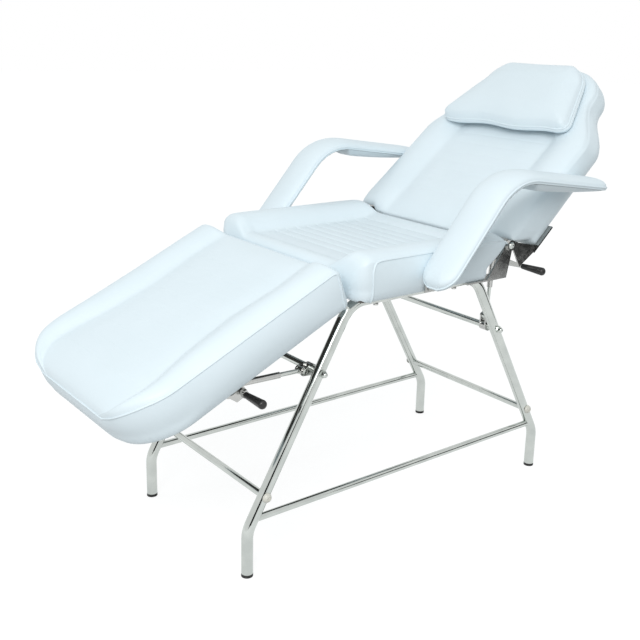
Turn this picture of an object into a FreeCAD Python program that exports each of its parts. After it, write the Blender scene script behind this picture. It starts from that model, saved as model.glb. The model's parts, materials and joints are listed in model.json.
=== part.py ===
"""Salon facial table.

A chromed tube base carries a padded seat with two arms.  A padded back and a padded leg rest
are hinged to the seat, and each is held by a telescopic strut with a release lever.
Millimetres.  +X points to the head end, +Y to the lying client's right, +Z up.
The origin is on the floor, midway between the four feet.
"""
import FreeCAD
import Part
import math
import os

# Tube base
tube_diameter = 25.4
tube_wall = 1.5
bar_diameter = 15.9
bar_wall = 1.2
foot_spacing = 900.0
frame_inset = 63.0
rail_height = 560.0
rail_length = 384.0
knee_height = 103.0
knee_radius = 62.0
shoulder_radius = 66.0
stretcher_height = 127.0
lower_bar_height = 174.0
upper_bar_height = 419.0
tip_height = 7.0
tip_plug_length = 22.0
plug_clearance = 0.05

# Crossbar tie rods and their ends
tie_rod_diameter = 8.0
rod_hole_clearance = 0.25
thread_clearance = 0.05
washer_diameter = 19.0
washer_thickness = 1.6
nut_across_flats = 13.0
nut_hex_height = 6.5
nut_bore_depth = 8.0
cap_diameter = 22.0
cap_height = 9.0
cap_bore_depth = 5.5
cap_recess_across_flats = 8.0
cap_recess_depth = 2.0

# Boards under the upholstery
board_thickness = 15.0
board_inset = 10.0

# Seat
seat_front = -216.0
seat_half_width = 278.0
seat_side_height = 88.0
seat_crown = 14.0
seat_bolster = 100.0
seat_front_bolster = 40.0
seat_front_rise = 4.0
seat_front_fall = 12.0
seat_panel_drop = 25.0
seat_panel_rear_drop = 6.0
seat_panel_rear_run = 90.0
seat_corner = 26.0
seat_nose = 34.0
seat_rear_top = 222.0
seat_rear_bottom = 161.0
seat_board_rear = 148.0
seat_channel_count = 10
seat_channel_start = 98.0
seat_channel_margin = 52.0

# Leg rest, drawn level and then let down
leg_drop_angle = 25.0
leg_hinge_x = -221.0
leg_hinge_gap = 4.0
leg_hinge_below_board = 4.0
leg_length = 527.0
leg_side_step = 14.0
leg_corner = 120.0
leg_nose = 70.0
leg_crown = 15.0
leg_bolster = 98.0
leg_panel_drop = 4.0
leg_foot_lift = 22.0
leg_channel_count = 9
leg_channel_start = 92.0
leg_channel_margin = 83.0

# Back, drawn level and then raised
back_raise_angle = 42.0
back_hinge_x = 235.0
back_hinge_below_seam = 14.7
back_length = 611.0
back_side_height = 83.0
back_head_thinning = 24.0
back_crown = 13.0
back_bolster = 112.0
back_panel_drop = 5.0
back_panel_end = 450.0
back_panel_fill = 70.0
back_shoulder = 318.0
back_neck = 492.0
back_neck_draw_in = 84.0
back_nose = 80.0
back_lower_nose = 46.0
back_lower_top = 12.0
back_lower_bottom = 65.0
back_roll_run = 4.0
back_roll_low_run = 6.0
back_roll_reach = 32.0
back_roll_top_below_hinge = 1.5
back_roll_low_below_hinge = 16.0
back_roll_round = 5.0
back_roll_side_margin = 50.0
back_board_start = 78.0
back_board_end = 560.0
back_channel_count = 7
back_channel_start = 108.0
back_channel_margin = 126.0

# Upholstery shared by all sections
side_draw_in = 9.0
seam_inset = 2.0
lip_run = 9.0
lip_rise = 8.0
panel_rise = 3.0
channel_depth = 2.2
channel_half_width = 5.0
floor_gap = 1.0
least_arch = 1.0
seat_front_share = 0.72
soft_end_share = 0.9
foot_end_share = 0.66
head_end_share = 0.6
lower_end_share = 0.94
arm_end_share = 0.35
bolster_share = 0.42
round_end_shares = (1, 0.75, 0.5, 0.3, 0.16, 0.07, 0.02)
soft_end_shares = (0, 0.1, 0.3, 0.6, 1)
head_turns = (20, 36, 50, 62, 72, 79)
waist_steps = 7

# Head pillow
pillow_start = 345.0
pillow_end = 572.0
pillow_side_margin = 56.0
pillow_corner = 60.0
pillow_thickness = 46.0
pillow_edge = 12.0
pillow_clearance = 1.4

# Arms
arm_inner_gap = 5.0
arm_width = 94.0
arm_tip_x = -62.0
arm_tip_height = 600.0
arm_bend_x = 130.0
arm_bend_height = 822.5
arm_end_x = 472.0
arm_end_height = 774.5
arm_bend_radius = 130.0
bend_steps = 6
arm_board_thickness = 6.0
arm_pad_edge = 2.5
arm_pad_crown = 17.0
arm_under_depth = 18.0
arm_under_end_depth = 1.5
arm_under_inset = 3.0
arm_bracket_thickness = 4.0
arm_flange_length = 62.0
arm_flange_width = 56.0
arm_flange_start = 30.0
arm_plate_gap = 0.8
arm_plate_height = 74.0
arm_plate_run = 62.0

# Hinge plates and pivots of the back
plate_thickness = 4.0
plate_gap = 0.3
plate_foot_width = 38.0
plate_foot_length = 62.0
plate_line_gap = 0.6
back_plate_foot_rise = 14.0
hinge_bolt_diameter = 10.0
hinge_bolt_head = 17.0
hinge_bolt_dome = 5.5
hinge_boss_radius = 12.5
hinge_nut_height = 6.0
running_clearance = 0.05

# Butt hinges of the leg rest
leaf_thickness = 2.5
leaf_length = 36.0
leaf_width = 70.0
leaf_inset = 128.0
knuckle_diameter = 8.0
leaf_pin_diameter = 4.0
knuckle_gap = 0.3
knuckle_room = 1.6

# Struts
strut_inset = 93.0
strut_pin_offset = 24.0
strut_pin_diameter = 8.0
strut_pin_head = 13.0
strut_pin_head_height = 4.0
clevis_collar_diameter = 24.0
clevis_ear_thickness = 4.0
clevis_ear_radius = 10.0
strut_eye_radius = 9.0
strut_eye_step = 1.0
strut_side_gap = 0.5
strut_rod_diameter = 10.0
strut_sleeve_diameter = 14.0
strut_end_pin_length = 30.0
open_pivot_clearance = 13.5
bracket_ear_wall = 6.0
sleeve_end_wall = 2.0
bracket_base_thickness = 3.0
bracket_base_half_width = 34.0
back_strut_tip_room = 51.5
back_strut_mouth = 74.5
back_strut_run = 20.6
back_strut_below_hinge = 50.7
leg_strut_tip_room = 40.5
leg_strut_mouth = 57.5
leg_strut_run = 294.1
leg_strut_below_hinge = 22.5

# Release levers
lever_thickness = 4.0
lever_width = 16.0
lever_stud_diameter = 8.0
lever_root_radius = 7.5
lever_stud_distance = 10.0
lever_lug_length = 15.0
lever_side_gap = 0.3
grip_root_diameter = 13.0
grip_tip_diameter = 20.0
grip_length = 66.0
grip_tip_round = 7.0
back_lever_run = 3.0
back_lever_below_hinge = 83.4
back_lever_inset = 7.0
leg_lever_run = 279.1
leg_lever_below_hinge = 44.9

# Wood screws and bolts
screw_diameter = 5.0
screw_head_diameter = 9.5
screw_head_height = 3.0
screw_bite = 11.0
seat_bolt_diameter = 6.0
seat_bolt_head_diameter = 12.0
seat_bolt_head_height = 4.0
seat_bolt_spread = 240.0

# Levels that several pieces share
board_bottom = rail_height + tube_diameter / 2
frame_half = seat_half_width - frame_inset
strut_offset = seat_half_width - strut_inset
leaf_offset = seat_half_width - leaf_inset
leg_hinge_height = board_bottom - leg_hinge_below_board
back_hinge_height = board_bottom + seat_side_height - back_hinge_below_seam
strut_eye_width = strut_sleeve_diameter - 2 * strut_eye_step
leg_half_width = seat_half_width - leg_side_step
back_half_width = seat_half_width
back_neck_half_width = back_half_width - back_neck_draw_in
pillow_half_width = back_half_width - pillow_side_margin
pillow_top_half_width = back_neck_half_width - pillow_side_margin
arm_inner = seat_half_width + arm_inner_gap
arm_middle = arm_inner + arm_width / 2
seat_plate_inner = seat_half_width - plate_thickness - 2 * plate_gap
back_plate_inner = seat_plate_inner + plate_thickness + plate_gap
back_plate_outer = back_plate_inner + plate_thickness
SIDES = {"left": -1, "right": 1}
across = FreeCAD.Vector(0, 1, 0)
upward = FreeCAD.Vector(0, 0, 1)
leg_pivot = FreeCAD.Vector(leg_hinge_x, 0, leg_hinge_height)
back_pivot = FreeCAD.Vector(back_hinge_x, 0, back_hinge_height)


def vec(x, y, z):
    return FreeCAD.Vector(x, y, z)


def cylinder(diameter, start, end):
    run = end - start
    return Part.makeCylinder(diameter / 2, run.Length, start, run)


def cylinder_across(diameter, x, z, y_from, y_to):
    return cylinder(diameter, vec(x, y_from, z), vec(x, y_to, z))


def line(start, end):
    return Part.LineSegment(start, end).toShape()


def arc(start, middle, end):
    return Part.Arc(start, middle, end).toShape()


def corner_arc(before, corner, after, radius):
    """Tangent arc that rounds one corner of a path, as its start, middle and end."""
    back = (before - corner).normalize()
    ahead = (after - corner).normalize()
    half_angle = back.getAngle(ahead) / 2
    reach = radius / math.tan(half_angle)
    inward = (back + ahead).normalize()
    centre = corner + inward * (radius / math.sin(half_angle))
    return corner + back * reach, centre - inward * radius, corner + ahead * reach


def bent_path(points, radii):
    """Open wire through the points, with an arc of the given radius at each inner point."""
    edges = []
    start = points[0]
    for index, radius in enumerate(radii):
        first, middle, last = corner_arc(points[index], points[index + 1], points[index + 2], radius)
        edges.append(line(start, first))
        edges.append(arc(first, middle, last))
        start = last
    edges.append(line(start, points[-1]))
    return Part.Wire(edges)


def rounded_face(points, radii):
    """Flat face with the given corners, each rounded by its own radius, or sharp where it is 0."""
    edges = []
    count = len(points)
    start = None
    first_point = None
    for index, corner in enumerate(points):
        if radii[index] > 0:
            following = points[(index + 1) % count]
            first, middle, last = corner_arc(points[index - 1], corner, following, radii[index])
        else:
            first, middle, last = corner, None, corner
        if start is None:
            first_point = first
        else:
            edges.append(line(start, first))
        if middle is not None:
            edges.append(arc(first, middle, last))
        start = last
    edges.append(line(start, first_point))
    return Part.Face(Part.Wire(edges))


def side_plate(outline, radii, y_from, y_to):
    """Plate parallel to the XZ plane, from (x, z) corners."""
    face = rounded_face([vec(x, y_from, z) for x, z in outline], radii)
    return face.extrude(vec(0, y_to - y_from, 0))


def level_board(outline, radii, z_from, thickness):
    """Level board from (x, y) corners."""
    face = rounded_face([vec(x, y, z_from) for x, y in outline], radii)
    return face.extrude(vec(0, 0, thickness))


def link_plate(x1, z1, radius1, x2, z2, radius2, y_from, y_to):
    """Plate with two round ends joined by a straight waist."""
    first = cylinder_across(2 * radius1, x1, z1, y_from, y_to)
    second = cylinder_across(2 * radius2, x2, z2, y_from, y_to)
    run = vec(x2 - x1, 0, z2 - z1)
    side = vec(-run.z, 0, run.x).normalize()
    a = vec(x1, y_from, z1)
    b = vec(x2, y_from, z2)
    corners = [a + side * radius1, b + side * radius2, b - side * radius2, a - side * radius1]
    waist = rounded_face(corners, [0, 0, 0, 0]).extrude(vec(0, y_to - y_from, 0))
    return first.fuse([second, waist]).removeSplitter()


def hex_prism(across_flats, x, z, y_from, y_to):
    radius = across_flats / math.sqrt(3)
    turns = [math.radians(60 * index) for index in range(6)]
    corners = [(x + radius * math.cos(turn), z + radius * math.sin(turn)) for turn in turns]
    return side_plate(corners, [0] * 6, y_from, y_to)


def screw(point, direction, length, diameter, head_diameter, head_height):
    """Screw whose head rests on the point and whose shank runs along the direction."""
    way = FreeCAD.Vector(direction).normalize()
    shank = Part.makeCylinder(diameter / 2, length, point, way)
    head = Part.makeCylinder(head_diameter / 2, head_height, point - way * head_height, way)
    return shank.fuse(head).removeSplitter()


def wood_screw(point, direction, grip):
    return screw(point, direction, grip + screw_bite, screw_diameter, screw_head_diameter, screw_head_height)


def drilled(shape, points, direction, diameter, depth):
    """Shape with a round hole from each point along the direction."""
    way = FreeCAD.Vector(direction).normalize()
    start = way * -depth
    tools = [Part.makeCylinder(diameter / 2, 2 * depth, point + start, way) for point in points]
    return shape.cut(tools) if tools else shape


def lowered(shape):
    """Leg rest pieces are drawn level and turned down about their hinge."""
    turned = shape.copy()
    turned.rotate(leg_pivot, across * -1, leg_drop_angle)
    return turned


def raised(shape):
    """Back pieces are drawn level and turned up about their hinge."""
    turned = shape.copy()
    turned.rotate(back_pivot, across * -1, back_raise_angle)
    return turned


def turned_place(pivot, angle, x, z):
    """Where a point of a section that is drawn level comes to lie once the section is turned."""
    turn = math.radians(angle)
    dx = x - pivot.x
    dz = z - pivot.z
    return (pivot.x + dx * math.cos(turn) - dz * math.sin(turn),
            pivot.z + dx * math.sin(turn) + dz * math.cos(turn))


def back_level(run, below):
    """Point of the level back, from its distance along and below the hinge."""
    return back_hinge_x + run, back_hinge_height - below


def leg_level(run, below):
    """Point of the level leg rest, from its distance along and below the hinge."""
    return leg_hinge_x - run, leg_hinge_height - below


# Tube base

def leg_axis_x(height):
    """Distance of the slanted leg's axis from the middle of the base, at a height."""
    slope = (foot_spacing - rail_length) / 2 / (rail_height - knee_height)
    return foot_spacing / 2 - (height - knee_height) * slope


def frame_path(y):
    front = -foot_spacing / 2
    rail = rail_length / 2
    points = [vec(front, y, tip_height), vec(front, y, knee_height), vec(-rail, y, rail_height),
              vec(rail, y, rail_height), vec(-front, y, knee_height), vec(-front, y, tip_height)]
    return bent_path(points, [knee_radius, shoulder_radius, shoulder_radius, knee_radius])


def frame_solid(y, diameter):
    circle = Part.makeCircle(diameter / 2, vec(-foot_spacing / 2, y, tip_height), upward)
    return frame_path(y).makePipeShell([Part.Wire(circle)], True, False)


def bar_places():
    """Height and end of each crossbar, by name."""
    return {
        "front_lower": (-leg_axis_x(lower_bar_height), lower_bar_height),
        "front_upper": (-leg_axis_x(upper_bar_height), upper_bar_height),
        "rear_upper": (leg_axis_x(upper_bar_height), upper_bar_height),
        "rear_lower": (leg_axis_x(lower_bar_height), lower_bar_height),
    }


def seat_bolt_places(side):
    spread = seat_bolt_spread / 2
    return [vec(x, side * frame_half, rail_height - tube_diameter / 2) for x in (-spread, spread)]


def side_frame(side):
    y = side * frame_half
    tube = frame_solid(y, tube_diameter).cut(frame_solid(y, tube_diameter - 2 * tube_wall))
    rod_hole = tie_rod_diameter + 2 * rod_hole_clearance
    for x, z in bar_places().values():
        tube = tube.cut(cylinder_across(rod_hole, x, z, y - tube_diameter, y + tube_diameter))
    bolt_hole = seat_bolt_diameter + 2 * rod_hole_clearance
    return drilled(tube, seat_bolt_places(side), upward, bolt_hole, 2 * tube_diameter)


def stretcher(side):
    y = side * frame_half
    reach = leg_axis_x(stretcher_height)
    start = vec(-reach, y, stretcher_height)
    end = vec(reach, y, stretcher_height)
    bar = cylinder(bar_diameter, start, end).cut(cylinder(bar_diameter - 2 * bar_wall, start, end))
    return bar.cut(frame_solid(y, tube_diameter))


def crossbar(x, z):
    bar = cylinder_across(bar_diameter, x, z, -frame_half, frame_half)
    bar = bar.cut(cylinder_across(bar_diameter - 2 * bar_wall, x, z, -frame_half, frame_half))
    return bar.cut([frame_solid(-frame_half, tube_diameter), frame_solid(frame_half, tube_diameter)])


def tie_rods():
    rods = []
    for name, (x, z) in bar_places().items():
        stop = nut_bore_depth + washer_thickness if "upper" in name else cap_bore_depth
        reach = frame_half + tube_diameter / 2 + stop
        rods.append(cylinder_across(tie_rod_diameter, x, z, -reach, reach))
    return rods


def both_ends(names, maker):
    """One piece at each end of each named crossbar."""
    places = bar_places()
    return [maker(places[name][0], places[name][1], side) for name in names for side in SIDES.values()]


def end_washer(x, z, side):
    inner = side * (frame_half + tube_diameter / 2)
    outer = inner + side * washer_thickness
    disc = cylinder_across(washer_diameter, x, z, inner, outer)
    return disc.cut(cylinder_across(tie_rod_diameter + 2 * rod_hole_clearance, x, z, inner, outer))


def acorn_nut(x, z, side):
    inner = side * (frame_half + tube_diameter / 2 + washer_thickness)
    dome_start = inner + side * nut_hex_height
    dome_radius = nut_across_flats / 2 - thread_clearance
    body = hex_prism(nut_across_flats, x, z, inner, dome_start)
    dome = Part.makeSphere(dome_radius, vec(x, dome_start, z))
    thread = tie_rod_diameter + 2 * thread_clearance
    bore = cylinder_across(thread, x, z, inner, inner + side * nut_bore_depth)
    inside = cylinder_across(3 * nut_across_flats, x, z, inner, inner - side * 2 * nut_across_flats)
    return body.fuse(dome).cut([bore, inside]).removeSplitter()


def end_cap(x, z, side):
    inner = side * (frame_half + tube_diameter / 2)
    outer = inner + side * cap_height
    rim_radius = cap_diameter / 2
    dome_radius = (rim_radius ** 2 + cap_height ** 2) / (2 * cap_height)
    disc = cylinder_across(cap_diameter, x, z, inner, outer)
    dome = Part.makeSphere(dome_radius, vec(x, outer - side * dome_radius, z))
    bore_end = inner + side * cap_bore_depth
    bore = cylinder_across(tie_rod_diameter + 2 * thread_clearance, x, z, inner, bore_end)
    recess = hex_prism(cap_recess_across_flats, x, z, outer - side * cap_recess_depth, outer + side)
    return disc.common(dome).cut([bore, recess])


def foot_tips():
    tips = []
    plug_diameter = tube_diameter - 2 * tube_wall - 2 * plug_clearance
    for x in (-foot_spacing / 2, foot_spacing / 2):
        for y in (-frame_half, frame_half):
            pad = cylinder(tube_diameter, vec(x, y, 0), vec(x, y, tip_height))
            plug = cylinder(plug_diameter, vec(x, y, 0), vec(x, y, tip_height + tip_plug_length))
            tips.append(pad.fuse(plug).removeSplitter())
    return tips


def seat_bolts():
    reach = tube_diameter + board_thickness - 2 * rod_hole_clearance
    bolts = []
    for side in SIDES.values():
        for point in seat_bolt_places(side):
            bolts.append(screw(point, upward, reach, seat_bolt_diameter, seat_bolt_head_diameter,
                               seat_bolt_head_height))
    return bolts


# Upholstery

def ease(distance, radius):
    """Quarter circle from 0 at an end to 1 at the given radius from it."""
    if distance >= radius:
        return 1.0
    return math.sqrt(1 - (1 - distance / radius) ** 2)


def blend(low, share):
    """Value between low and 1."""
    return low + (1 - low) * share


def cushion_section(x, half, floor, seam, crown, bolster, panel):
    """Closed outline across a cushion: flat floor, drawn-in sides, two bolsters and a lower panel."""
    def place(y, z):
        return vec(x, y, z)
    foot = half - side_draw_in
    edge = half - seam_inset
    lip = half - bolster
    groove = lip - lip_run
    lip_level = panel + lip_rise
    side_middle = (floor + seam) / 2
    top = half - bolster / 2
    return Part.Wire([
        line(place(-foot, floor), place(foot, floor)),
        arc(place(foot, floor), place(half, side_middle), place(edge, seam)),
        arc(place(edge, seam), place(top, crown), place(lip, lip_level)),
        line(place(lip, lip_level), place(groove, panel)),
        arc(place(groove, panel), place(0, panel + panel_rise), place(-groove, panel)),
        line(place(-groove, panel), place(-lip, lip_level)),
        arc(place(-lip, lip_level), place(-top, crown), place(-edge, seam)),
        arc(place(-edge, seam), place(-half, side_middle), place(-foot, floor)),
    ])


def with_channels(stations, first, last, count):
    """Stations along a cushion, with three more at each sewn channel, and the channel centres."""
    centres = [first + (last - first) * index / (count - 1) for index in range(count)]
    extra = []
    for centre in centres:
        extra += [centre - channel_half_width, centre, centre + channel_half_width]
    return sorted(stations + extra), centres


def channel_dip(station, centres):
    return channel_depth if any(abs(station - centre) < 1e-6 for centre in centres) else 0.0


def seat_board_block():
    reach = seat_half_width - board_inset
    front = seat_front + board_inset
    outline = [(front, -reach), (seat_board_rear, -reach), (seat_board_rear, reach), (front, reach)]
    return level_board(outline, [board_inset, 0, 0, board_inset], board_bottom, board_thickness)


def arm_bolts_drilled(shape):
    """Shape with the holes of the screws that hold the arms to the seat board's edges."""
    depth = arm_bracket_thickness + arm_plate_gap + board_inset + screw_bite
    for side in SIDES.values():
        shape = drilled(shape, arm_bolt_points(side), across * -side, screw_diameter, depth)
    return shape


def seat_board():
    bolts = seat_bolt_places(-1) + seat_bolt_places(1)
    board = drilled(seat_board_block(), bolts, upward, seat_bolt_diameter, tube_diameter + board_thickness)
    board = drilled(board, seat_plate_screw_points(), upward, screw_diameter, plate_thickness + screw_bite)
    board = drilled(board, seat_leaf_screw_points(), upward, screw_diameter, leaf_thickness + screw_bite)
    return arm_bolts_drilled(board)


def rear_slope(height):
    """Where the seat's slanted rear end lies at a height."""
    share = (height - board_bottom) / (back_hinge_height + plate_thickness - board_bottom)
    return seat_rear_bottom + (seat_rear_top - seat_rear_bottom) * share


def seat_panel_depth(to_rear):
    """Depth of the seat's centre panel under the seam, less towards the back."""
    filled = max(0, 1 - to_rear / seat_panel_rear_run) ** 2
    return seat_panel_drop + (seat_panel_rear_drop - seat_panel_drop) * filled


def seat_cushion():
    length = seat_rear_top - seat_front
    front_end = [seat_nose * share for share in soft_end_shares]
    rear_end = [length - distance for distance in front_end]
    front_lip = [seat_front_bolster - lip_run, seat_front_bolster]
    stations, centres = with_channels(front_end + front_lip + rear_end, seat_channel_start,
                                      length - seat_channel_margin, seat_channel_count)
    wires = []
    for distance in stations:
        lift = blend(seat_front_share, ease(distance, seat_nose))
        rear_fall = blend(soft_end_share, ease(length - distance, seat_nose))
        half = seat_half_width - seat_corner * (1 - ease(distance, seat_corner))
        level = min(lift, rear_fall) * seat_side_height
        crown = seat_crown * ease(distance, seat_nose)
        crown *= ease(length - distance, seat_nose)
        seam = board_bottom + level
        panel = seam - seat_panel_depth(length - distance) - channel_dip(distance, centres)
        if distance < seat_front_bolster:
            roll = seat_front_rise - seat_front_fall * (1 - ease(distance, seat_nose))
            panel = board_bottom + seat_side_height - seat_panel_drop + roll
        wires.append(cushion_section(seat_front + distance, half, board_bottom + floor_gap, seam,
                                     seam + crown + least_arch, seat_bolster, panel))
    slab = Part.makeLoft(wires, True, True)
    top = board_bottom + 2 * seat_side_height
    far = back_hinge_x + seat_half_width
    wedge = [(rear_slope(board_bottom - plate_thickness), board_bottom - plate_thickness),
             (rear_slope(back_hinge_height), back_hinge_height), (seat_rear_top, top), (far, top),
             (far, board_bottom - plate_thickness)]
    cut = side_plate(wedge, [0] * 5, -2 * seat_half_width, 2 * seat_half_width)
    return arm_bolts_drilled(slab.cut([cut, seat_board_block()]))


def leg_seat_end():
    return leg_hinge_x - leg_hinge_gap


def leg_board():
    reach = leg_half_width - board_inset
    start = leg_seat_end() - board_inset
    end = leg_seat_end() - leg_length + leg_nose + board_inset
    outline = [(start, -reach), (start, reach), (end, reach), (end, -reach)]
    corner = leg_corner - leg_nose
    return level_board(outline, [0, 0, corner, corner], board_bottom, board_thickness)


def leg_board_drilled():
    board = drilled(leg_board(), leg_leaf_screw_points(), upward, screw_diameter, leaf_thickness + screw_bite)
    depth = bracket_base_thickness + screw_bite
    return drilled(board, leg_bracket_screw_points(), upward, screw_diameter, depth)


def leg_cushion():
    ends = [leg_length - leg_corner * share for share in round_end_shares]
    seat_end = [seat_nose * share for share in soft_end_shares]
    stations, centres = with_channels(seat_end + ends, leg_channel_start, leg_length - leg_channel_margin,
                                      leg_channel_count)
    wires = []
    for distance in stations:
        to_foot = leg_length - distance
        half = leg_half_width - leg_corner * (1 - ease(to_foot, leg_corner))
        fall = ease(to_foot, leg_nose)
        floor = board_bottom + floor_gap + leg_foot_lift * (1 - fall)
        rise = ease(distance, seat_nose)
        level = seat_side_height * blend(foot_end_share, fall) * blend(soft_end_share, rise)
        crown = leg_crown * fall * rise
        seam = board_bottom + level
        panel = seam - leg_panel_drop - channel_dip(distance, centres)
        wires.append(cushion_section(leg_seat_end() - distance, half, floor, seam, seam + crown + least_arch,
                                     leg_bolster, panel))
    return Part.makeLoft(wires, True, True).cut(leg_board())


def back_outline(distance):
    """Half width of the back: straight to the shoulders, drawn in to the neck, round at the head."""
    if distance <= back_shoulder:
        return back_half_width
    if distance <= back_neck:
        share = (distance - back_shoulder) / (back_neck - back_shoulder)
        smooth = share * share * (3 - 2 * share)
        return back_half_width + (back_neck_half_width - back_half_width) * smooth
    share = (distance - back_neck) / (back_length - back_neck)
    return back_neck_half_width * math.sqrt(1 - share * share)


def back_thickness(distance):
    """Height of the back's seam over its board's underside, less towards the head."""
    share = (distance - back_lower_top) / (back_neck - back_lower_top)
    return back_side_height - back_head_thinning * min(1.0, share)


def back_board():
    x = back_hinge_x
    shoulder = back_half_width - board_inset - side_draw_in
    neck = back_neck_half_width - board_inset - side_draw_in
    end = neck / 2
    outline = [(x + back_board_start, -shoulder), (x + back_shoulder - board_inset, -shoulder),
               (x + back_neck - board_inset, -neck), (x + back_board_end, -end),
               (x + back_board_end, end), (x + back_neck - board_inset, neck),
               (x + back_shoulder - board_inset, shoulder), (x + back_board_start, shoulder)]
    return level_board(outline, [0] * 8, board_bottom, board_thickness)


def back_board_drilled():
    plate_depth = plate_thickness + screw_bite
    bracket_depth = bracket_base_thickness + screw_bite
    board = drilled(back_board(), back_plate_screw_points(), upward, screw_diameter, plate_depth)
    return drilled(board, back_bracket_screw_points(), upward, screw_diameter, bracket_depth)


def back_wedge():
    """Space in front of the back's slanted lower end."""
    low = board_bottom - plate_thickness
    high = board_bottom + 2 * back_side_height
    near = back_hinge_x - back_half_width
    top = back_hinge_x + back_lower_top
    bottom = back_hinge_x + back_lower_bottom
    seam = board_bottom + back_side_height
    outline = [(near, low), (bottom, low), (bottom, board_bottom), (top, seam), (top, high), (near, high)]
    return side_plate(outline, [0] * 6, -2 * back_half_width, 2 * back_half_width)


def back_roll():
    """Roll of padding along the back's lower edge, between the hinge plates."""
    top = back_hinge_height - back_roll_top_below_hinge
    low = back_hinge_height - back_roll_low_below_hinge
    inside = back_hinge_x + back_roll_reach
    outline = [(inside, top), (back_hinge_x + back_roll_run, top), (back_hinge_x + back_roll_low_run, low),
               (inside, low)]
    half = back_half_width - back_roll_side_margin
    return side_plate(outline, [0, back_roll_round, back_roll_round, 0], -half, half)


def back_cushion():
    waist_step = (back_neck - back_shoulder) / waist_steps
    waist = [back_shoulder + waist_step * step for step in range(waist_steps + 1)]
    head = [back_neck + (back_length - back_neck) * math.sin(math.radians(turn)) for turn in head_turns]
    start = back_lower_top
    lower = [start + back_lower_nose * share for share in soft_end_shares]
    stations, centres = with_channels(lower + waist + head, back_channel_start,
                                      back_panel_end - back_channel_margin, back_channel_count)
    wires = []
    for distance in stations:
        half = back_outline(distance)
        fall = ease(back_length - distance, back_nose)
        level = back_thickness(distance) * blend(head_end_share, fall)
        level *= blend(lower_end_share, ease(distance - start, back_lower_nose))
        crown = back_crown * fall * ease(distance - start, back_lower_nose)
        seam = board_bottom + level
        panel = seam - back_panel_drop - channel_dip(distance, centres)
        filled = min(1.0, max(0.0, (distance - back_panel_end) / back_panel_fill))
        panel += filled * (crown + back_panel_drop - lip_rise)
        bolster = min(back_bolster, bolster_share * half)
        wires.append(cushion_section(back_hinge_x + distance, half, board_bottom + floor_gap, seam,
                                     seam + crown + least_arch, bolster, panel))
    padding = Part.makeLoft(wires, True, True).cut([back_wedge(), back_board()])
    return padding.fuse(back_roll())


def pillow_section(distance):
    """Outline across the head pillow at a distance from the back's hinge."""
    to_start = distance - pillow_start
    to_end = pillow_end - distance
    share = to_start / (pillow_end - pillow_start)
    half = pillow_half_width + (pillow_top_half_width - pillow_half_width) * share
    half -= pillow_corner * (1 - ease(to_end, pillow_corner))
    half -= pillow_corner / 3 * (1 - ease(to_start, pillow_corner / 3))
    x = back_hinge_x + distance
    floor = board_bottom + back_thickness(distance) + back_crown + least_arch + pillow_clearance
    edge = floor + pillow_edge
    top = edge + (pillow_thickness - pillow_edge) * ease(min(to_start, to_end), pillow_corner)
    return Part.Wire([
        line(vec(x, -half, floor), vec(x, half, floor)),
        line(vec(x, half, floor), vec(x, half, edge)),
        arc(vec(x, half, edge), vec(x, 0, top + least_arch), vec(x, -half, edge)),
        line(vec(x, -half, edge), vec(x, -half, floor)),
    ])


def head_pillow():
    rise = [pillow_start + pillow_corner * share for share in reversed(round_end_shares)]
    fall = [pillow_end - pillow_corner * share for share in round_end_shares]
    return Part.makeLoft([pillow_section(distance) for distance in rise + fall], True, True)


# Arms

def arm_directions():
    """Unit vectors along the slanted front part and along the rear part, in the XZ plane."""
    front = vec(arm_bend_x - arm_tip_x, 0, arm_bend_height - arm_tip_height)
    rear = vec(arm_end_x - arm_bend_x, 0, arm_end_height - arm_bend_height)
    return front.normalize(), rear.normalize()


def square_up(direction):
    return vec(-direction.z, 0, direction.x)


def arm_stations():
    """Points along the top of the arm's board, each with its upward direction and its distance to an end."""
    front, rear = arm_directions()
    tip = vec(arm_tip_x, 0, arm_tip_height)
    bend = vec(arm_bend_x, 0, arm_bend_height)
    end = vec(arm_end_x, 0, arm_end_height)
    half_turn = front.getAngle(rear) / 2
    centre = bend + (rear - front).normalize() * (arm_bend_radius / math.cos(half_turn))
    round_end = [arm_width / 2 * share for share in reversed(round_end_shares)]
    stations = [(tip + front * distance, square_up(front), distance) for distance in round_end]
    first_up = square_up(front)
    for step in range(bend_steps + 1):
        turn = FreeCAD.Rotation(across, math.degrees(2 * half_turn) * step / bend_steps)
        outward = turn.multVec(first_up)
        stations.append((centre + outward * arm_bend_radius, outward, arm_width))
    stations += [(end - rear * distance, square_up(rear), distance) for distance in reversed(round_end)]
    return stations


def arm_section(station, side, narrower, low, high, crown):
    """Closed outline across the arm between two levels above its board, with an arched top."""
    origin, outward, to_end = station
    half = (arm_width / 2 - narrower) * ease(to_end, arm_width / 2)
    middle = origin + across * (side * arm_middle)

    def place(y, level):
        return middle + across * y + outward * level
    if crown > 0:
        top = arc(place(half, high), place(0, high + crown), place(-half, high))
    else:
        top = line(place(half, high), place(-half, high))
    return Part.Wire([
        line(place(-half, low), place(half, low)),
        line(place(half, low), place(half, high)),
        top,
        line(place(-half, high), place(-half, low)),
    ])


def arm_pad(side):
    wires = []
    for station in arm_stations():
        swell = blend(arm_end_share, ease(station[2], arm_width / 2))
        wires.append(arm_section(station, side, 0, 0, arm_pad_edge * swell, arm_pad_crown * swell))
    return Part.makeLoft(wires, True, True)


def arm_board(side):
    wires = [arm_section(station, side, 0, -arm_board_thickness, 0, 0) for station in arm_stations()]
    board = Part.makeLoft(wires, True, True)
    front, _ = arm_directions()
    depth = arm_bracket_thickness + arm_board_thickness
    return drilled(board, arm_screw_points(side), square_up(front), screw_diameter, depth)


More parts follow.
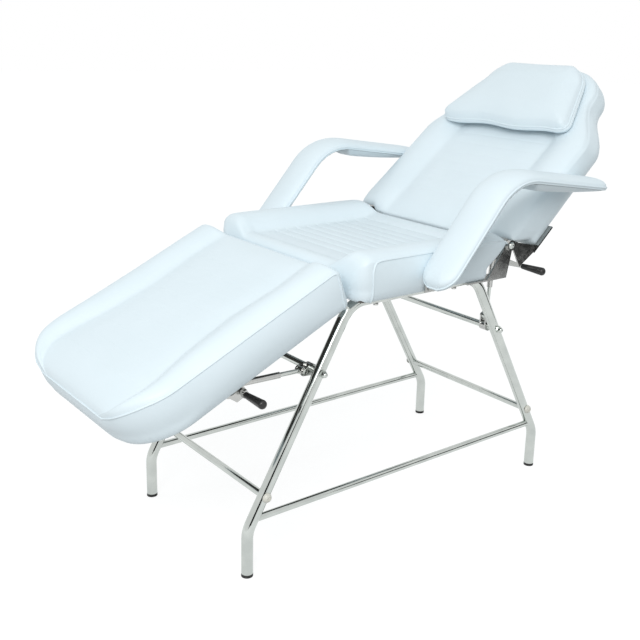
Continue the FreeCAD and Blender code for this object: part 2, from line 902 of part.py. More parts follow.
def arm_under_pad(side):
    """Flat-bottomed pad under the arm's rear part, shallower towards its end."""
    rear_stations = arm_stations()[-len(round_end_shares) - 1:]
    start = rear_stations[0][0]
    run = (rear_stations[-1][0] - start).Length
    wires = []
    for station in rear_stations:
        share = (station[0] - start).Length / run
        depth = arm_under_depth + (arm_under_end_depth - arm_under_depth) * share * share
        wires.append(arm_section(station, side, arm_under_inset, -arm_board_thickness - depth,
                                 -arm_board_thickness, 0))
    return Part.makeLoft(wires, True, True)


def arm_under_point(distance, depth):
    """Point under the slanted part, at a distance from its tip and a depth under its board."""
    front, _ = arm_directions()
    below = arm_board_thickness + depth
    return vec(arm_tip_x, 0, arm_tip_height) + front * distance - square_up(front) * below


def arm_screw_points(side):
    middle = arm_inner + arm_flange_width / 2
    arm_flange_end = arm_flange_start + arm_flange_length
    places = (arm_flange_start + screw_head_diameter, arm_flange_end - screw_head_diameter)
    return [arm_under_point(place, arm_bracket_thickness) + across * (side * middle) for place in places]


def arm_bolt_points(side):
    """Where the arm's side plate is screwed into the edge of the seat board."""
    start = arm_under_point(arm_flange_start, arm_bracket_thickness).x
    y = side * (seat_half_width + arm_plate_gap + arm_bracket_thickness)
    z = board_bottom + board_thickness / 2
    return [vec(start + screw_head_diameter, y, z), vec(start + arm_plate_run - screw_head_diameter, y, z)]


def arm_bracket(side):
    """Side plate on the seat with a flange under the arm's slanted part."""
    inner = seat_half_width + arm_plate_gap
    outer = inner + arm_bracket_thickness
    low = arm_under_point(arm_flange_start, 0)
    high = arm_under_point(arm_flange_start + arm_flange_length, 0)
    low_under = arm_under_point(arm_flange_start, arm_bracket_thickness)
    high_under = arm_under_point(arm_flange_start + arm_flange_length, arm_bracket_thickness)
    outline = [(point.x, point.z) for point in (low, high, high_under, low_under)]
    flange = side_plate(outline, [0] * 4, side * inner, side * (inner + arm_flange_width))
    foot = board_bottom + floor_gap
    plate = side_plate([(low.x, low.z), (high.x, high.z), (high.x + board_inset, high_under.z),
                        (low.x + arm_plate_run, foot + arm_plate_height), (low.x + arm_plate_run, foot),
                        (low.x, foot)], [0] * 6, side * inner, side * outer)
    bracket = plate.fuse(flange).removeSplitter()
    front, _ = arm_directions()
    hole = screw_diameter + 2 * rod_hole_clearance
    bracket = drilled(bracket, arm_screw_points(side), square_up(front), hole, 2 * arm_bracket_thickness)
    return drilled(bracket, arm_bolt_points(side), across * -side, hole, 2 * arm_bracket_thickness)


def arm_screws():
    front, _ = arm_directions()
    bite = arm_board_thickness - thread_clearance
    made = []
    for side in SIDES.values():
        for point in arm_screw_points(side):
            made.append(screw(point, square_up(front), arm_bracket_thickness + bite, screw_diameter,
                              screw_head_diameter, screw_head_height))
    return made


def arm_bolts():
    grip = arm_bracket_thickness + arm_plate_gap + board_inset
    made = []
    for side in SIDES.values():
        made += [wood_screw(point, across * -side, grip) for point in arm_bolt_points(side)]
    return made


# Hinge plates of the back

def seat_hinge_plate(side):
    inner = side * seat_plate_inner
    outer = side * (seat_plate_inner + plate_thickness)
    low = board_bottom - plate_thickness
    slope_low = rear_slope(board_bottom) + plate_line_gap
    slope_high = rear_slope(back_hinge_height) + plate_line_gap
    rear = back_hinge_x - hinge_boss_radius / 2
    neck = back_hinge_height - hinge_boss_radius / 2
    outline = [(slope_low, low), (rear, low), (back_hinge_x + 3 * hinge_boss_radius / 4, neck),
               (back_hinge_x, back_hinge_height), (slope_high, back_hinge_height)]
    web = side_plate(outline, [0] * 5, inner, outer)
    boss = cylinder_across(2 * hinge_boss_radius, back_hinge_x, back_hinge_height, inner, outer)
    foot_inner = outer - side * plate_foot_width
    foot = side_plate([(slope_low - plate_foot_length, low), (rear, low), (rear, board_bottom),
                       (slope_low - plate_foot_length, board_bottom)], [0] * 4, foot_inner, outer)
    plate = web.fuse([boss, foot]).removeSplitter()
    plate = plate.cut(cylinder_across(hinge_bolt_diameter, back_hinge_x, back_hinge_height, inner, outer))
    hole = screw_diameter + 2 * rod_hole_clearance
    return drilled(plate, seat_plate_screw_points(), upward, hole, 2 * plate_thickness)


def seat_plate_screw_points():
    y = seat_plate_inner + plate_thickness - plate_foot_width + screw_head_diameter
    start = rear_slope(board_bottom) + plate_line_gap - plate_foot_length
    places = (start + screw_head_diameter, seat_board_rear - screw_head_diameter)
    return [vec(x, side * y, board_bottom - plate_thickness) for x in places for side in SIDES.values()]


def back_hinge_plate(side):
    """Plate in the notch under the hinge, drawn for the level back."""
    inner = side * back_plate_inner
    outer = side * back_plate_outer
    x = back_hinge_x
    low = board_bottom - plate_thickness
    bottom = x + back_lower_bottom - plate_line_gap
    web = side_plate([(x + back_lower_top - 2 * plate_line_gap, back_hinge_height), (bottom, board_bottom),
                      (bottom, low), (x - hinge_boss_radius, low + back_plate_foot_rise),
                      (x - hinge_boss_radius / 3, back_hinge_height - 2 * hinge_boss_radius),
                      (x, back_hinge_height)], [0] * 6, inner, outer)
    boss = cylinder_across(2 * hinge_boss_radius, x, back_hinge_height, inner, outer)
    foot_start = bottom - plate_foot_length / 3
    foot_end = bottom + plate_foot_length
    outline = [(foot_start, low), (foot_end, low), (foot_end, board_bottom), (foot_start, board_bottom)]
    foot = side_plate(outline, [0] * 4, outer - side * plate_foot_width, outer)
    plate = web.fuse([boss, foot]).removeSplitter()
    bore = hinge_bolt_diameter + 2 * running_clearance
    plate = plate.cut(cylinder_across(bore, x, back_hinge_height, inner, outer))
    hole = screw_diameter + 2 * rod_hole_clearance
    return drilled(plate, back_plate_screw_points(), upward, hole, 2 * plate_thickness)


def back_plate_screw_points():
    y = back_plate_outer - plate_foot_width + screw_head_diameter
    end = back_hinge_x + back_lower_bottom - plate_line_gap + plate_foot_length
    places = (back_hinge_x + back_board_start + screw_head_diameter, end - screw_head_diameter)
    return [vec(x, side * y, board_bottom - plate_thickness) for x in places for side in SIDES.values()]


def hinge_bolts():
    bolts = []
    for side in SIDES.values():
        seat = side * back_plate_outer
        end = side * (seat_plate_inner - hinge_nut_height)
        shank = cylinder_across(hinge_bolt_diameter, back_hinge_x, back_hinge_height, seat, end)
        rim = hinge_bolt_head / 2
        dome_radius = (rim ** 2 + hinge_bolt_dome ** 2) / (2 * hinge_bolt_dome)
        dome = Part.makeSphere(dome_radius, vec(back_hinge_x, seat + side * (hinge_bolt_dome - dome_radius),
                                                back_hinge_height))
        top = seat + side * dome_radius
        head = cylinder_across(2 * hinge_bolt_head, back_hinge_x, back_hinge_height, seat, top)
        bolts.append(shank.fuse(dome.common(head)).removeSplitter())
    return bolts


def hinge_nuts():
    nuts = []
    for side in SIDES.values():
        start = side * seat_plate_inner
        end = start - side * hinge_nut_height
        nut = hex_prism(hinge_bolt_head, back_hinge_x, back_hinge_height, start, end)
        bore = hinge_bolt_diameter + 2 * thread_clearance
        nuts.append(nut.cut(cylinder_across(bore, back_hinge_x, back_hinge_height, start, end)))
    return nuts


# Butt hinges of the leg rest

def leaf(side, direction, own_knuckles, pin_clearance):
    """Hinge leaf reaching from the pin along X in the given direction, drawn for the level leg rest."""
    middle = side * leaf_offset
    share = leaf_width / 3
    x = leg_hinge_x
    end = x + direction * leaf_length
    low = board_bottom - leaf_thickness
    first = middle - leaf_width / 2
    plate = side_plate([(x, low), (end, low), (end, board_bottom), (x, board_bottom)], [0] * 4,
                       first, first + leaf_width)
    spans = [(first + share * index, first + share * (index + 1)) for index in range(3)]
    others = [span for index, span in enumerate(spans) if index not in own_knuckles]
    room = knuckle_diameter + 2 * knuckle_room
    plate = plate.cut([cylinder_across(room, x, leg_hinge_height, near - knuckle_gap, far + knuckle_gap)
                       for near, far in others])
    knuckles = [cylinder_across(knuckle_diameter, x, leg_hinge_height, spans[index][0], spans[index][1])
                for index in own_knuckles]
    made = plate.fuse(knuckles).removeSplitter()
    bore = leaf_pin_diameter + 2 * pin_clearance
    made = made.cut(cylinder_across(bore, x, leg_hinge_height, middle - leaf_width, middle + leaf_width))
    hole = screw_diameter + 2 * rod_hole_clearance
    points = seat_leaf_screw_points() if direction > 0 else leg_leaf_screw_points()
    return drilled(made, points, upward, hole, 2 * leaf_thickness)


def leaf_screw_points(direction):
    x = leg_hinge_x + direction * (leaf_length - screw_head_diameter)
    spread = leaf_width / 2 - screw_head_diameter
    return [vec(x, side * leaf_offset + shift, board_bottom - leaf_thickness)
            for side in SIDES.values() for shift in (-spread, spread)]


def seat_leaf_screw_points():
    return leaf_screw_points(1)


def leg_leaf_screw_points():
    return leaf_screw_points(-1)


def leaf_pins():
    pins = []
    for side in SIDES.values():
        middle = side * leaf_offset
        pins.append(cylinder_across(leaf_pin_diameter, leg_hinge_x, leg_hinge_height, middle - leaf_width / 2,
                                    middle + leaf_width / 2))
    return pins


# Struts

def strut_base(name):
    """Pin of the strut at the crossbar: above the rear bar, in front of the front bar."""
    places = bar_places()
    if name == "back":
        x, z = places["rear_upper"]
        return vec(x, -strut_offset, z + strut_pin_offset)
    x, z = places["front_upper"]
    return vec(x - strut_pin_offset, -strut_offset, z)


def strut_end(name):
    """Cross pin of the strut at the section's bracket."""
    if name == "back":
        level = back_level(back_strut_run, back_strut_below_hinge)
        x, z = turned_place(back_pivot, back_raise_angle, *level)
    else:
        level = leg_level(leg_strut_run, leg_strut_below_hinge)
        x, z = turned_place(leg_pivot, leg_drop_angle, *level)
    return vec(x, -strut_offset, z)


def lever_place(name):
    """Axis of a release lever's grip, as x and z."""
    if name == "back":
        level = back_level(back_lever_run, back_lever_below_hinge)
        return turned_place(back_pivot, back_raise_angle, *level)
    level = leg_level(leg_lever_run, leg_lever_below_hinge)
    return turned_place(leg_pivot, leg_drop_angle, *level)


def strut_clevis(name):
    bar = bar_places()["rear_upper" if name == "back" else "front_upper"]
    pin = strut_base(name)
    inner = strut_eye_width / 2 + strut_side_gap
    outer = inner + clevis_ear_thickness
    ears = [link_plate(bar[0], bar[1], clevis_collar_diameter / 2, pin.x, pin.z, clevis_ear_radius,
                       -strut_offset + way * inner, -strut_offset + way * outer) for way in (-1, 1)]
    near = -strut_offset - outer
    far = -strut_offset + outer
    collar = cylinder_across(clevis_collar_diameter, bar[0], bar[1], near, far)
    body = collar.fuse(ears).removeSplitter()
    bar_room = cylinder_across(bar_diameter, bar[0], bar[1], near - outer, far + outer)
    pin_room = cylinder_across(strut_pin_diameter, pin.x, pin.z, near - outer, far + outer)
    return body.cut([bar_room, pin_room])


def strut_pin(name):
    pin = strut_base(name)
    reach = strut_eye_width / 2 + strut_side_gap + clevis_ear_thickness
    shank = cylinder_across(strut_pin_diameter, pin.x, pin.z, pin.y - reach, pin.y + reach)
    heads = [cylinder_across(strut_pin_head, pin.x, pin.z, pin.y + way * reach,
                             pin.y + way * (reach + strut_pin_head_height)) for way in (-1, 1)]
    return shank.fuse(heads).removeSplitter()


def strut_rod(name, tip_room):
    """Inner rod of the strut, with an eye on the crossbar's pin; it ends short of the upper pin."""
    start = strut_base(name)
    run = strut_end(name) - start
    length = run.Length - tip_room
    way = run.normalize()
    half = strut_eye_width / 2
    eye = cylinder_across(2 * strut_eye_radius, start.x, start.z, start.y - half, start.y + half)
    rod = cylinder(strut_rod_diameter, start, start + way * length)
    pin_room = strut_pin_diameter + 2 * running_clearance
    bore = cylinder_across(pin_room, start.x, start.z, start.y - half, start.y + half)
    return eye.fuse(rod).removeSplitter().cut(bore)


def strut_sleeve(name, mouth_distance):
    """Outer tube of the strut, with a cross pin at the end that the section's bracket holds."""
    end = strut_end(name)
    way = (end - strut_base(name)).normalize()
    half = strut_eye_width / 2
    mouth = strut_base(name) + way * mouth_distance
    tube = cylinder(strut_sleeve_diameter, mouth, end)
    eye = cylinder_across(2 * strut_eye_radius, end.x, end.z, end.y - half, end.y + half)
    reach = strut_end_pin_length / 2
    pin = cylinder_across(strut_pin_diameter, end.x, end.z, end.y - reach, end.y + reach)
    stop = end - way * (strut_eye_radius + sleeve_end_wall)
    bore = cylinder(strut_rod_diameter + 2 * running_clearance, mouth, stop)
    return tube.fuse([eye, pin]).removeSplitter().cut(bore)


def ear_spans():
    inner = strut_sleeve_diameter / 2 + strut_side_gap
    outer = inner + clevis_ear_thickness
    return [(-strut_offset - outer, -strut_offset - inner), (-strut_offset + inner, -strut_offset + outer)]


def open_hole():
    """Diameter of the bracket's hole: the strut's cross pin floats in it as the section turns."""
    return strut_pin_diameter + 2 * open_pivot_clearance


def bracket_base(x_from, x_to):
    low = board_bottom - bracket_base_thickness
    near = -strut_offset - bracket_base_half_width
    far = -strut_offset + bracket_base_half_width
    outline = [(x_from, near), (x_to, near), (x_to, far), (x_from, far)]
    return level_board(outline, [0] * 4, low, bracket_base_thickness)


def bracket_screw_points(x_from, x_to):
    low = board_bottom - bracket_base_thickness
    spread = bracket_base_half_width - screw_head_diameter
    ends = (x_from + screw_head_diameter, x_to - screw_head_diameter)
    return [vec(x, -strut_offset + shift, low) for x in ends for shift in (-spread, spread)]


def leg_bracket_ends():
    x, _ = leg_level(leg_strut_run, leg_strut_below_hinge)
    reach = open_hole() / 2 + 2 * bracket_ear_wall
    return x - reach, x + reach


def back_bracket_ends():
    start = back_hinge_x + back_board_start + plate_thickness
    return start, start + 2 * bracket_base_half_width


def leg_bracket_screw_points():
    return bracket_screw_points(*leg_bracket_ends())


def back_bracket_screw_points():
    return bracket_screw_points(*back_bracket_ends())


def lever_stud_y():
    return ear_spans()[0][0] - lever_stud_distance


def lever_lug(grip_x, grip_height):
    """Lug on the near ear with the stud that the release lever turns on, drawn in place."""
    near = ear_spans()[0][0]
    back = grip_x + lever_thickness / 2 + lever_side_gap
    corner = vec(back, near - lever_lug_length, grip_height - lever_width / 2)
    block = Part.makeBox(lever_thickness, lever_lug_length, lever_width, corner)
    stud = cylinder(lever_stud_diameter, vec(back, lever_stud_y(), grip_height),
                    vec(grip_x - lever_thickness, lever_stud_y(), grip_height))
    return block.fuse(stud)


def leg_bracket():
    x, z = leg_level(leg_strut_run, leg_strut_below_hinge)
    lug_x, lug_z = leg_level(leg_lever_run, leg_lever_below_hinge)
    start, end = leg_bracket_ends()
    radius = open_hole() / 2 + bracket_ear_wall
    low = board_bottom - bracket_base_thickness
    ears = []
    for y_from, y_to in ear_spans():
        ring = cylinder_across(2 * radius, x, z, y_from, y_to)
        under = lug_z - lever_width
        web = side_plate([(x - radius, low), (x + radius, low), (x + radius, z), (lug_x + lever_width, under),
                          (lug_x - lever_width, under), (x - radius, z)], [0] * 6, y_from, y_to)
        hole = cylinder_across(open_hole(), x, z, y_from, y_to)
        ears.append(ring.fuse(web).removeSplitter().cut(hole))
    body = bracket_base(start, end).fuse(ears).removeSplitter()
    screw_hole = screw_diameter + 2 * rod_hole_clearance
    body = drilled(body, leg_bracket_screw_points(), upward, screw_hole, 2 * bracket_base_thickness)
    return lowered(body).fuse(lever_lug(*lever_place("leg"))).removeSplitter()


def back_bracket():
    x, z = back_level(back_strut_run, back_strut_below_hinge)
    lug_x, lug_z = back_level(back_lever_run, back_lever_below_hinge)
    start, end = back_bracket_ends()
    radius = open_hole() / 2 + bracket_ear_wall
    low = board_bottom - bracket_base_thickness / 2
    under = lug_z - lever_width
    ears = []
    for y_from, y_to in ear_spans():
        ring = cylinder_across(2 * radius, x, z, y_from, y_to)
        web = side_plate([(x - radius, z), (x + bracket_ear_wall, low), (end, low), (end, under),
                          (lug_x - lever_width / 2, under)], [0] * 5, y_from, y_to)
        hole = cylinder_across(open_hole(), x, z, y_from, y_to)
        ears.append(ring.fuse(web).removeSplitter().cut(hole))
    body = bracket_base(start, end).fuse(ears).removeSplitter()
    screw_hole = screw_diameter + 2 * rod_hole_clearance
    body = drilled(body, back_bracket_screw_points(), upward, screw_hole, 2 * bracket_base_thickness)
    return raised(body).fuse(lever_lug(*lever_place("back"))).removeSplitter()


# Release levers

def lever_bar(grip_x, grip_height, grip_start):
    """Flat bar from the stud out to the grip, round at its root and narrower inside the grip."""
    root = lever_width / 2
    end = lever_width / 4
    inner = lever_stud_y() + root
    outer = grip_start - lever_width
    x = grip_x - lever_thickness / 2
    below = [(inner, -root), (lever_stud_y() - root, -root), (grip_start, -end), (outer, -end)]
    above = [(y, -rise) for y, rise in reversed(below)]
    corners = [vec(x, y, grip_height + rise) for y, rise in below + above]
    rounded = [lever_root_radius] + [0] * 6 + [lever_root_radius]
    bar = rounded_face(corners, rounded).extrude(vec(lever_thickness, 0, 0))
    bore = cylinder(lever_stud_diameter + 2 * running_clearance, vec(x, lever_stud_y(), grip_height),
                    vec(x + lever_thickness, lever_stud_y(), grip_height))
    return bar.cut(bore)


def lever_grip(grip_x, grip_height, grip_start):
    """Tapered grip with a rounded tip, pushed over the end of the bar."""
    root = grip_root_diameter / 2
    tip = grip_tip_diameter / 2
    start = vec(grip_x, grip_start, grip_height)
    cone = Part.makeCone(root, tip, grip_length, start, across * -1)
    tip_edges = [edge for edge in cone.Edges if edge.BoundBox.YMax < grip_start - grip_length / 2]
    cone = cone.makeFillet(grip_tip_round, tip_edges)
    return cone.cut(lever_bar(grip_x, grip_height, grip_start))


def back_grip_start():
    return -(back_plate_inner - back_lever_inset)


def leg_grip_start():
    return lever_stud_y() - lever_stud_distance


def main():
    pieces = {}
    for name, side in SIDES.items():
        pieces[name + "_side_frame"] = side_frame(side)
        pieces[name + "_lower_stretcher"] = stretcher(side)
        pieces[name + "_seat_hinge_plate"] = seat_hinge_plate(side)
        pieces[name + "_back_hinge_plate"] = raised(back_hinge_plate(side))
        pieces[name + "_arm_bracket"] = arm_bracket(side)
        pieces[name + "_arm_board"] = arm_board(side)
        pieces[name + "_arm_pad"] = arm_pad(side)
        pieces[name + "_arm_under_pad"] = arm_under_pad(side)
    for name, (x, z) in bar_places().items():
        pieces[name + "_crossbar"] = crossbar(x, z)
    uppers = ["front_upper", "rear_upper"]
    lowers = ["front_lower", "rear_lower"]
    pieces["crossbar_tie_rods"] = Part.makeCompound(tie_rods())
    pieces["crossbar_washers"] = Part.makeCompound(both_ends(uppers, end_washer))
    pieces["crossbar_acorn_nuts"] = Part.makeCompound(both_ends(uppers, acorn_nut))
    pieces["crossbar_end_caps"] = Part.makeCompound(both_ends(lowers, end_cap))
    pieces["foot_tips"] = Part.makeCompound(foot_tips())
    pieces["seat_bolts"] = Part.makeCompound(seat_bolts())
    pieces["seat_board"] = seat_board()
    pieces["seat_cushion"] = seat_cushion()
    pieces["leg_board"] = lowered(leg_board_drilled())
    pieces["leg_cushion"] = lowered(leg_cushion())
    pieces["back_board"] = raised(back_board_drilled())
    pieces["back_cushion"] = raised(back_cushion())
    pieces["head_pillow"] = raised(head_pillow())
    pieces["back_hinge_bolts"] = Part.makeCompound(hinge_bolts())
    pieces["back_hinge_nuts"] = Part.makeCompound(hinge_nuts())
    pieces["leg_hinge_seat_leaves"] = Part.makeCompound([leaf(side, 1, (0, 2), 0) for side in SIDES.values()])
    pieces["leg_hinge_leg_leaves"] = lowered(Part.makeCompound([leaf(side, -1, (1,), running_clearance)
                                                                for side in SIDES.values()]))
    pieces["leg_hinge_pins"] = Part.makeCompound(leaf_pins())
    for name, tip_room, mouth in (("back", back_strut_tip_room, back_strut_mouth),
                                  ("leg", leg_strut_tip_room, leg_strut_mouth)):
        pieces[name + "_strut_clevis"] = strut_clevis(name)
        pieces[name + "_strut_pin"] = strut_pin(name)
        pieces[name + "_strut_rod"] = strut_rod(name, tip_room)
        pieces[name + "_strut_sleeve"] = strut_sleeve(name, mouth)
    pieces["back_strut_bracket"] = back_bracket()
    pieces["leg_strut_bracket"] = leg_bracket()
    for name, grip_start in (("back", back_grip_start()), ("leg", leg_grip_start())):
        grip_x, grip_height = lever_place(name)
        pieces[name + "_release_lever"] = lever_bar(grip_x, grip_height, grip_start)
        pieces[name + "_lever_grip"] = lever_grip(grip_x, grip_height, grip_start)
    pieces["seat_screws"] = Part.makeCompound(
        [wood_screw(point, upward, plate_thickness) for point in seat_plate_screw_points()]
        + [wood_screw(point, upward, leaf_thickness) for point in seat_leaf_screw_points()])
    pieces["back_screws"] = raised(Part.makeCompound(
        [wood_screw(point, upward, plate_thickness) for point in back_plate_screw_points()]
        + [wood_screw(point, upward, bracket_base_thickness) for point in back_bracket_screw_points()]))
    pieces["leg_screws"] = lowered(Part.makeCompound(
        [wood_screw(point, upward, leaf_thickness) for point in leg_leaf_screw_points()]
        + [wood_screw(point, upward, bracket_base_thickness) for point in leg_bracket_screw_points()]))
    pieces["arm_screws"] = Part.makeCompound(arm_screws())
    pieces["arm_bolts"] = Part.makeCompound(arm_bolts())
    os.makedirs("parts", exist_ok=True)
    for name, shape in pieces.items():
        shape.exportStep("parts/" + name + ".step")
        print(name, "solids", len(shape.Solids), "valid", shape.isValid(), "volume", round(shape.Volume))


main()
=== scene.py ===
"""Looks of the salon facial table: sewn vinyl covers, piping, metal and plastic finishes, light and camera.

Metres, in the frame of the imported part: +X to the head end, +Y to the client's right, +Z up.
Each cover is drawn level, as its board is, and then turned to where its section rests.
"""
import json
import math
from collections import namedtuple

import bpy
import numpy as np
from mathutils import Matrix, Vector


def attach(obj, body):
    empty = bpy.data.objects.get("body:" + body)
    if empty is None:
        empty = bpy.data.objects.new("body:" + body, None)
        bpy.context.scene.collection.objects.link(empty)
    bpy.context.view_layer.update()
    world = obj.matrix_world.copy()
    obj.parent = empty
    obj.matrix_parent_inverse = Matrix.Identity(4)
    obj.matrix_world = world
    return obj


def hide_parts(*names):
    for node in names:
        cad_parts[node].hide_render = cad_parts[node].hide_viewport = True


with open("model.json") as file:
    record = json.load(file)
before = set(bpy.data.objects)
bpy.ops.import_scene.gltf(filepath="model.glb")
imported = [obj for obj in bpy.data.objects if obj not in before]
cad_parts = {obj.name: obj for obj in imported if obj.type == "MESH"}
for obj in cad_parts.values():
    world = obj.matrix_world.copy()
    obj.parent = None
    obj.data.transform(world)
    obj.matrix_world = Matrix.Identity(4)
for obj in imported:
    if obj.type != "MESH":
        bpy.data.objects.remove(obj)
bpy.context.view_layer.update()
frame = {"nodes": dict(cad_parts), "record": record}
record = frame["record"]
joints = {joint["name"]: joint for joint in record["behaviour"]["joints"]}

# Sizes that the covers share
board_level = 0.5727
seat_height = 0.088
side_swell = 0.003
tuck_in = 0.009
tuck_height = 0.026
fold_width = 0.030
fold_slope = 0.006
fold_thickness = 0.0008
hidden_rise = 0.004
board_overlap = 0.020
wall_shares = (0.05, 0.18, 0.34, 0.5, 0.66, 0.83, 1.0)
tuck_steps = 6
column_count = 65
column_crowding = 0.4
row_step = 0.009
row_crowding = 0.3
least_rows = 8
tiny = 1e-9
channel_rows = (-0.005, -0.002, 0.0, 0.002, 0.005)
crest_share = 0.45
panel_slope = 0.8
panel_margin = 1.08

# Seat
seat_front = -0.216
seat_rear_top = 0.222
seat_rear_bottom = 0.161
seat_board_end = 0.148
seat_half = 0.278
seat_corner = 0.026
seat_nose = 0.034
seat_front_share = 0.72
seat_rear_share = 0.9
seat_rear_crown = 0.3
seat_bolster = 0.100
seat_front_bolster = 0.040
seat_front_rise = 0.005
seat_front_fall = 0.012
seat_crown = 0.015
seat_drop = 0.024
seat_rear_drop = 0.005
seat_rear_run = 0.090
seat_channel_start = 0.098
seat_channel_step = 0.032
seat_channel_count = 10
seat_crease = 0.006
seat_bulge = 0.004

# Leg rest
leg_start = -0.225
leg_length = 0.527
leg_board_end = 0.447
leg_half = 0.264
leg_corner = 0.120
leg_nose = 0.070
leg_crown = 0.016
leg_drop = 0.003
leg_foot_share = 0.66
leg_seat_share = 0.95
leg_seat_nose = 0.016
leg_bolster_places = (0.0, 0.096, 0.216, 0.336, 0.431, 0.500, 0.527)
leg_bolster_widths = (0.098, 0.092, 0.104, 0.092, 0.068, 0.042, 0.030)
leg_channel_start = 0.092
leg_channel_step = 0.044
leg_channel_count = 9
leg_crease = 0.008
leg_bulge = 0.004

# Back
back_start_top = 0.012
back_start_bottom = 0.065
back_board_start = 0.098
back_board_end = 0.540
back_board_inset = 0.040
back_length = 0.611
back_half = 0.278
back_height = 0.083
back_shoulder = 0.318
back_neck = 0.492
back_neck_half = 0.194
back_nose = 0.080
back_head_share = 0.6
back_lower_nose = 0.046
back_lower_share = 0.94
back_bolster = 0.112
back_bolster_share = 0.42
back_head_thinning = 0.024
back_crown = 0.013
back_drop = 0.005
back_panel_end = 0.450
back_panel_fill = 0.070
back_seam_share = 0.95
back_edge_round = 0.020
back_channel_start = 0.108
back_channel_step = 0.036
back_channel_count = 7
back_bulge = 0.003
back_roll_run = 0.009
back_roll_swell = 0.018
back_roll_half = 0.228
back_roll_edge = 0.020
back_least_end = 0.02

# Head pillow
pillow_start = 0.345
pillow_end = 0.572
pillow_half = 0.222
pillow_top_half = 0.138
pillow_corner = 0.060
pillow_lower_corner = 0.032
pillow_thickness = 0.046
pillow_edge = 0.016
pillow_fullness = 0.8
pillow_clearance = 0.0024
pillow_swell = 0.004
pillow_tuck = 0.003
pillow_bulge = 0.005
pillow_wave = 0.004
pillow_wave_length = 0.210

# Arms
arm_middle = 0.330
arm_half = 0.047
arm_tip = (-0.062, 0.600)
arm_bend = (0.130, 0.8225)
arm_end = (0.472, 0.7745)
arm_bend_radius = 0.130
arm_board = 0.006
arm_edge = 0.0025
arm_crown = 0.018
arm_cover = 0.0012
arm_tuck = 0.002
arm_tuck_height = 0.003
arm_under_depth = 0.018
arm_under_end_depth = 0.0015
arm_under_inset = 0.003
arm_under_rim_share = 0.2
arm_under_slope = 0.026
arm_hidden_level = -0.003
arm_hidden_edge = 0.006

# Sewing
welt_radius = 0.0021
leg_welt_radius = 0.0017
welt_facets = 3
seam_depth = 0.0022
channel_depth = 0.0022
channel_spread = 0.0024
faint_channel = 0.1
firm_crease = 0.8
leg_crispness = 0.8
back_crispness = 0.3
seat_corner_span = 4
leg_corner_span = 2
corner_steps = 6


def ease(distance, radius):
    """Quarter circle from 0 at an end to 1 at the given radius from it."""
    share = np.clip(np.asarray(distance, float) / radius, 0, 1)
    return np.sqrt(np.maximum(0, 1 - (1 - share) ** 2))


def smooth(value, low, high):
    share = np.clip((value - low) / (high - low), 0, 1)
    return share * share * (3 - 2 * share)


def lerp(low, high, share):
    return low + (high - low) * share


def turned(joint_name):
    """Matrix from a section drawn level to where it rests."""
    joint = joints[joint_name]
    pivot = Vector(joint["pos_m"])
    tilt = math.radians(-joint["range_deg"][0])
    turn = Matrix.Rotation(tilt, 4, Vector(joint["axis"]))
    return Matrix.Translation(pivot) @ turn @ Matrix.Translation(-pivot)


def placed(matrix, points):
    """Points of a level section, turned."""
    flat = np.array(matrix)
    return points @ flat[:3, :3].T + flat[:3, 3]


# Skins of boxed cushions

Skin = namedtuple("Skin", "points faces top bottom wall")


def rows_along(start, end, extra=()):
    """Stations from start to end, closer at both ends and at each sewn channel."""
    count = max(least_rows, int((end - start) / row_step))
    even = np.linspace(0, 1, count)
    crowded = 0.5 - 0.5 * np.cos(math.pi * even)
    spread = (1 - row_crowding) * even + row_crowding * crowded
    stations = list(start + (end - start) * spread)
    for centre in extra:
        stations = [place for place in stations if abs(place - centre) > channel_rows[-1] + row_step / 3]
        stations += [centre + shift for shift in channel_rows]
    return np.array(sorted(stations))


def columns_across():
    """Shares of the half width, closer towards both sides."""
    even = np.linspace(-1, 1, column_count)
    return (1 - column_crowding) * even + column_crowding * np.sin(even * math.pi / 2)


def ring_of(grid):
    """Indices round the rim of a grid."""
    return np.concatenate([grid[0, :], grid[1:, -1], grid[-1, -2::-1], grid[-2:0:-1, 0]])


def rim_count(panel):
    """Number of points round the rim of a panel's grid."""
    rows, columns = panel.shape
    return 2 * (rows - 1) + 2 * (columns - 1)


def outward(points):
    """Unit directions out of a closed plan outline."""
    ahead = np.roll(points[:, :2], -1, axis=0) - np.roll(points[:, :2], 1, axis=0)
    ahead /= np.maximum(np.linalg.norm(ahead, axis=1), tiny)[:, None]
    normal = np.stack([ahead[:, 1], -ahead[:, 0]], axis=1)
    centre = points[:, :2].mean(axis=0)
    if np.sum(normal * (points[:, :2] - centre)) < 0:
        normal = -normal
    return normal


def quads(upper, lower):
    """Quads between two closed rows of indices."""
    return [(upper[i - 1], upper[i], lower[i], lower[i - 1]) for i in range(len(upper))]


def wall_points(high, low, swell, tuck, tuck_rise):
    """Rows of points down a wall that swells and then tucks under to the bottom's outline."""
    away = outward(high)
    foot = low[:, :2] + away * tuck
    height = high[:, 2] - low[:, 2]
    rise = np.minimum(tuck_rise, panel_slope * height)
    bulge = np.reshape(swell, (-1, 1))
    found = []
    for share in wall_shares:
        plan = lerp(high[:, :2], foot, share) + away * bulge * math.sin(math.pi * share)
        level = high[:, 2] - (height - rise) * share
        found.append(np.column_stack([plan, level]))
    for step in range(1, tuck_steps):
        turn = math.pi / 2 * step / tuck_steps
        plan = foot - away * (tuck * (1 - math.cos(turn)))
        level = low[:, 2] + rise * (1 - math.sin(turn))
        found.append(np.column_stack([plan, level]))
    return found


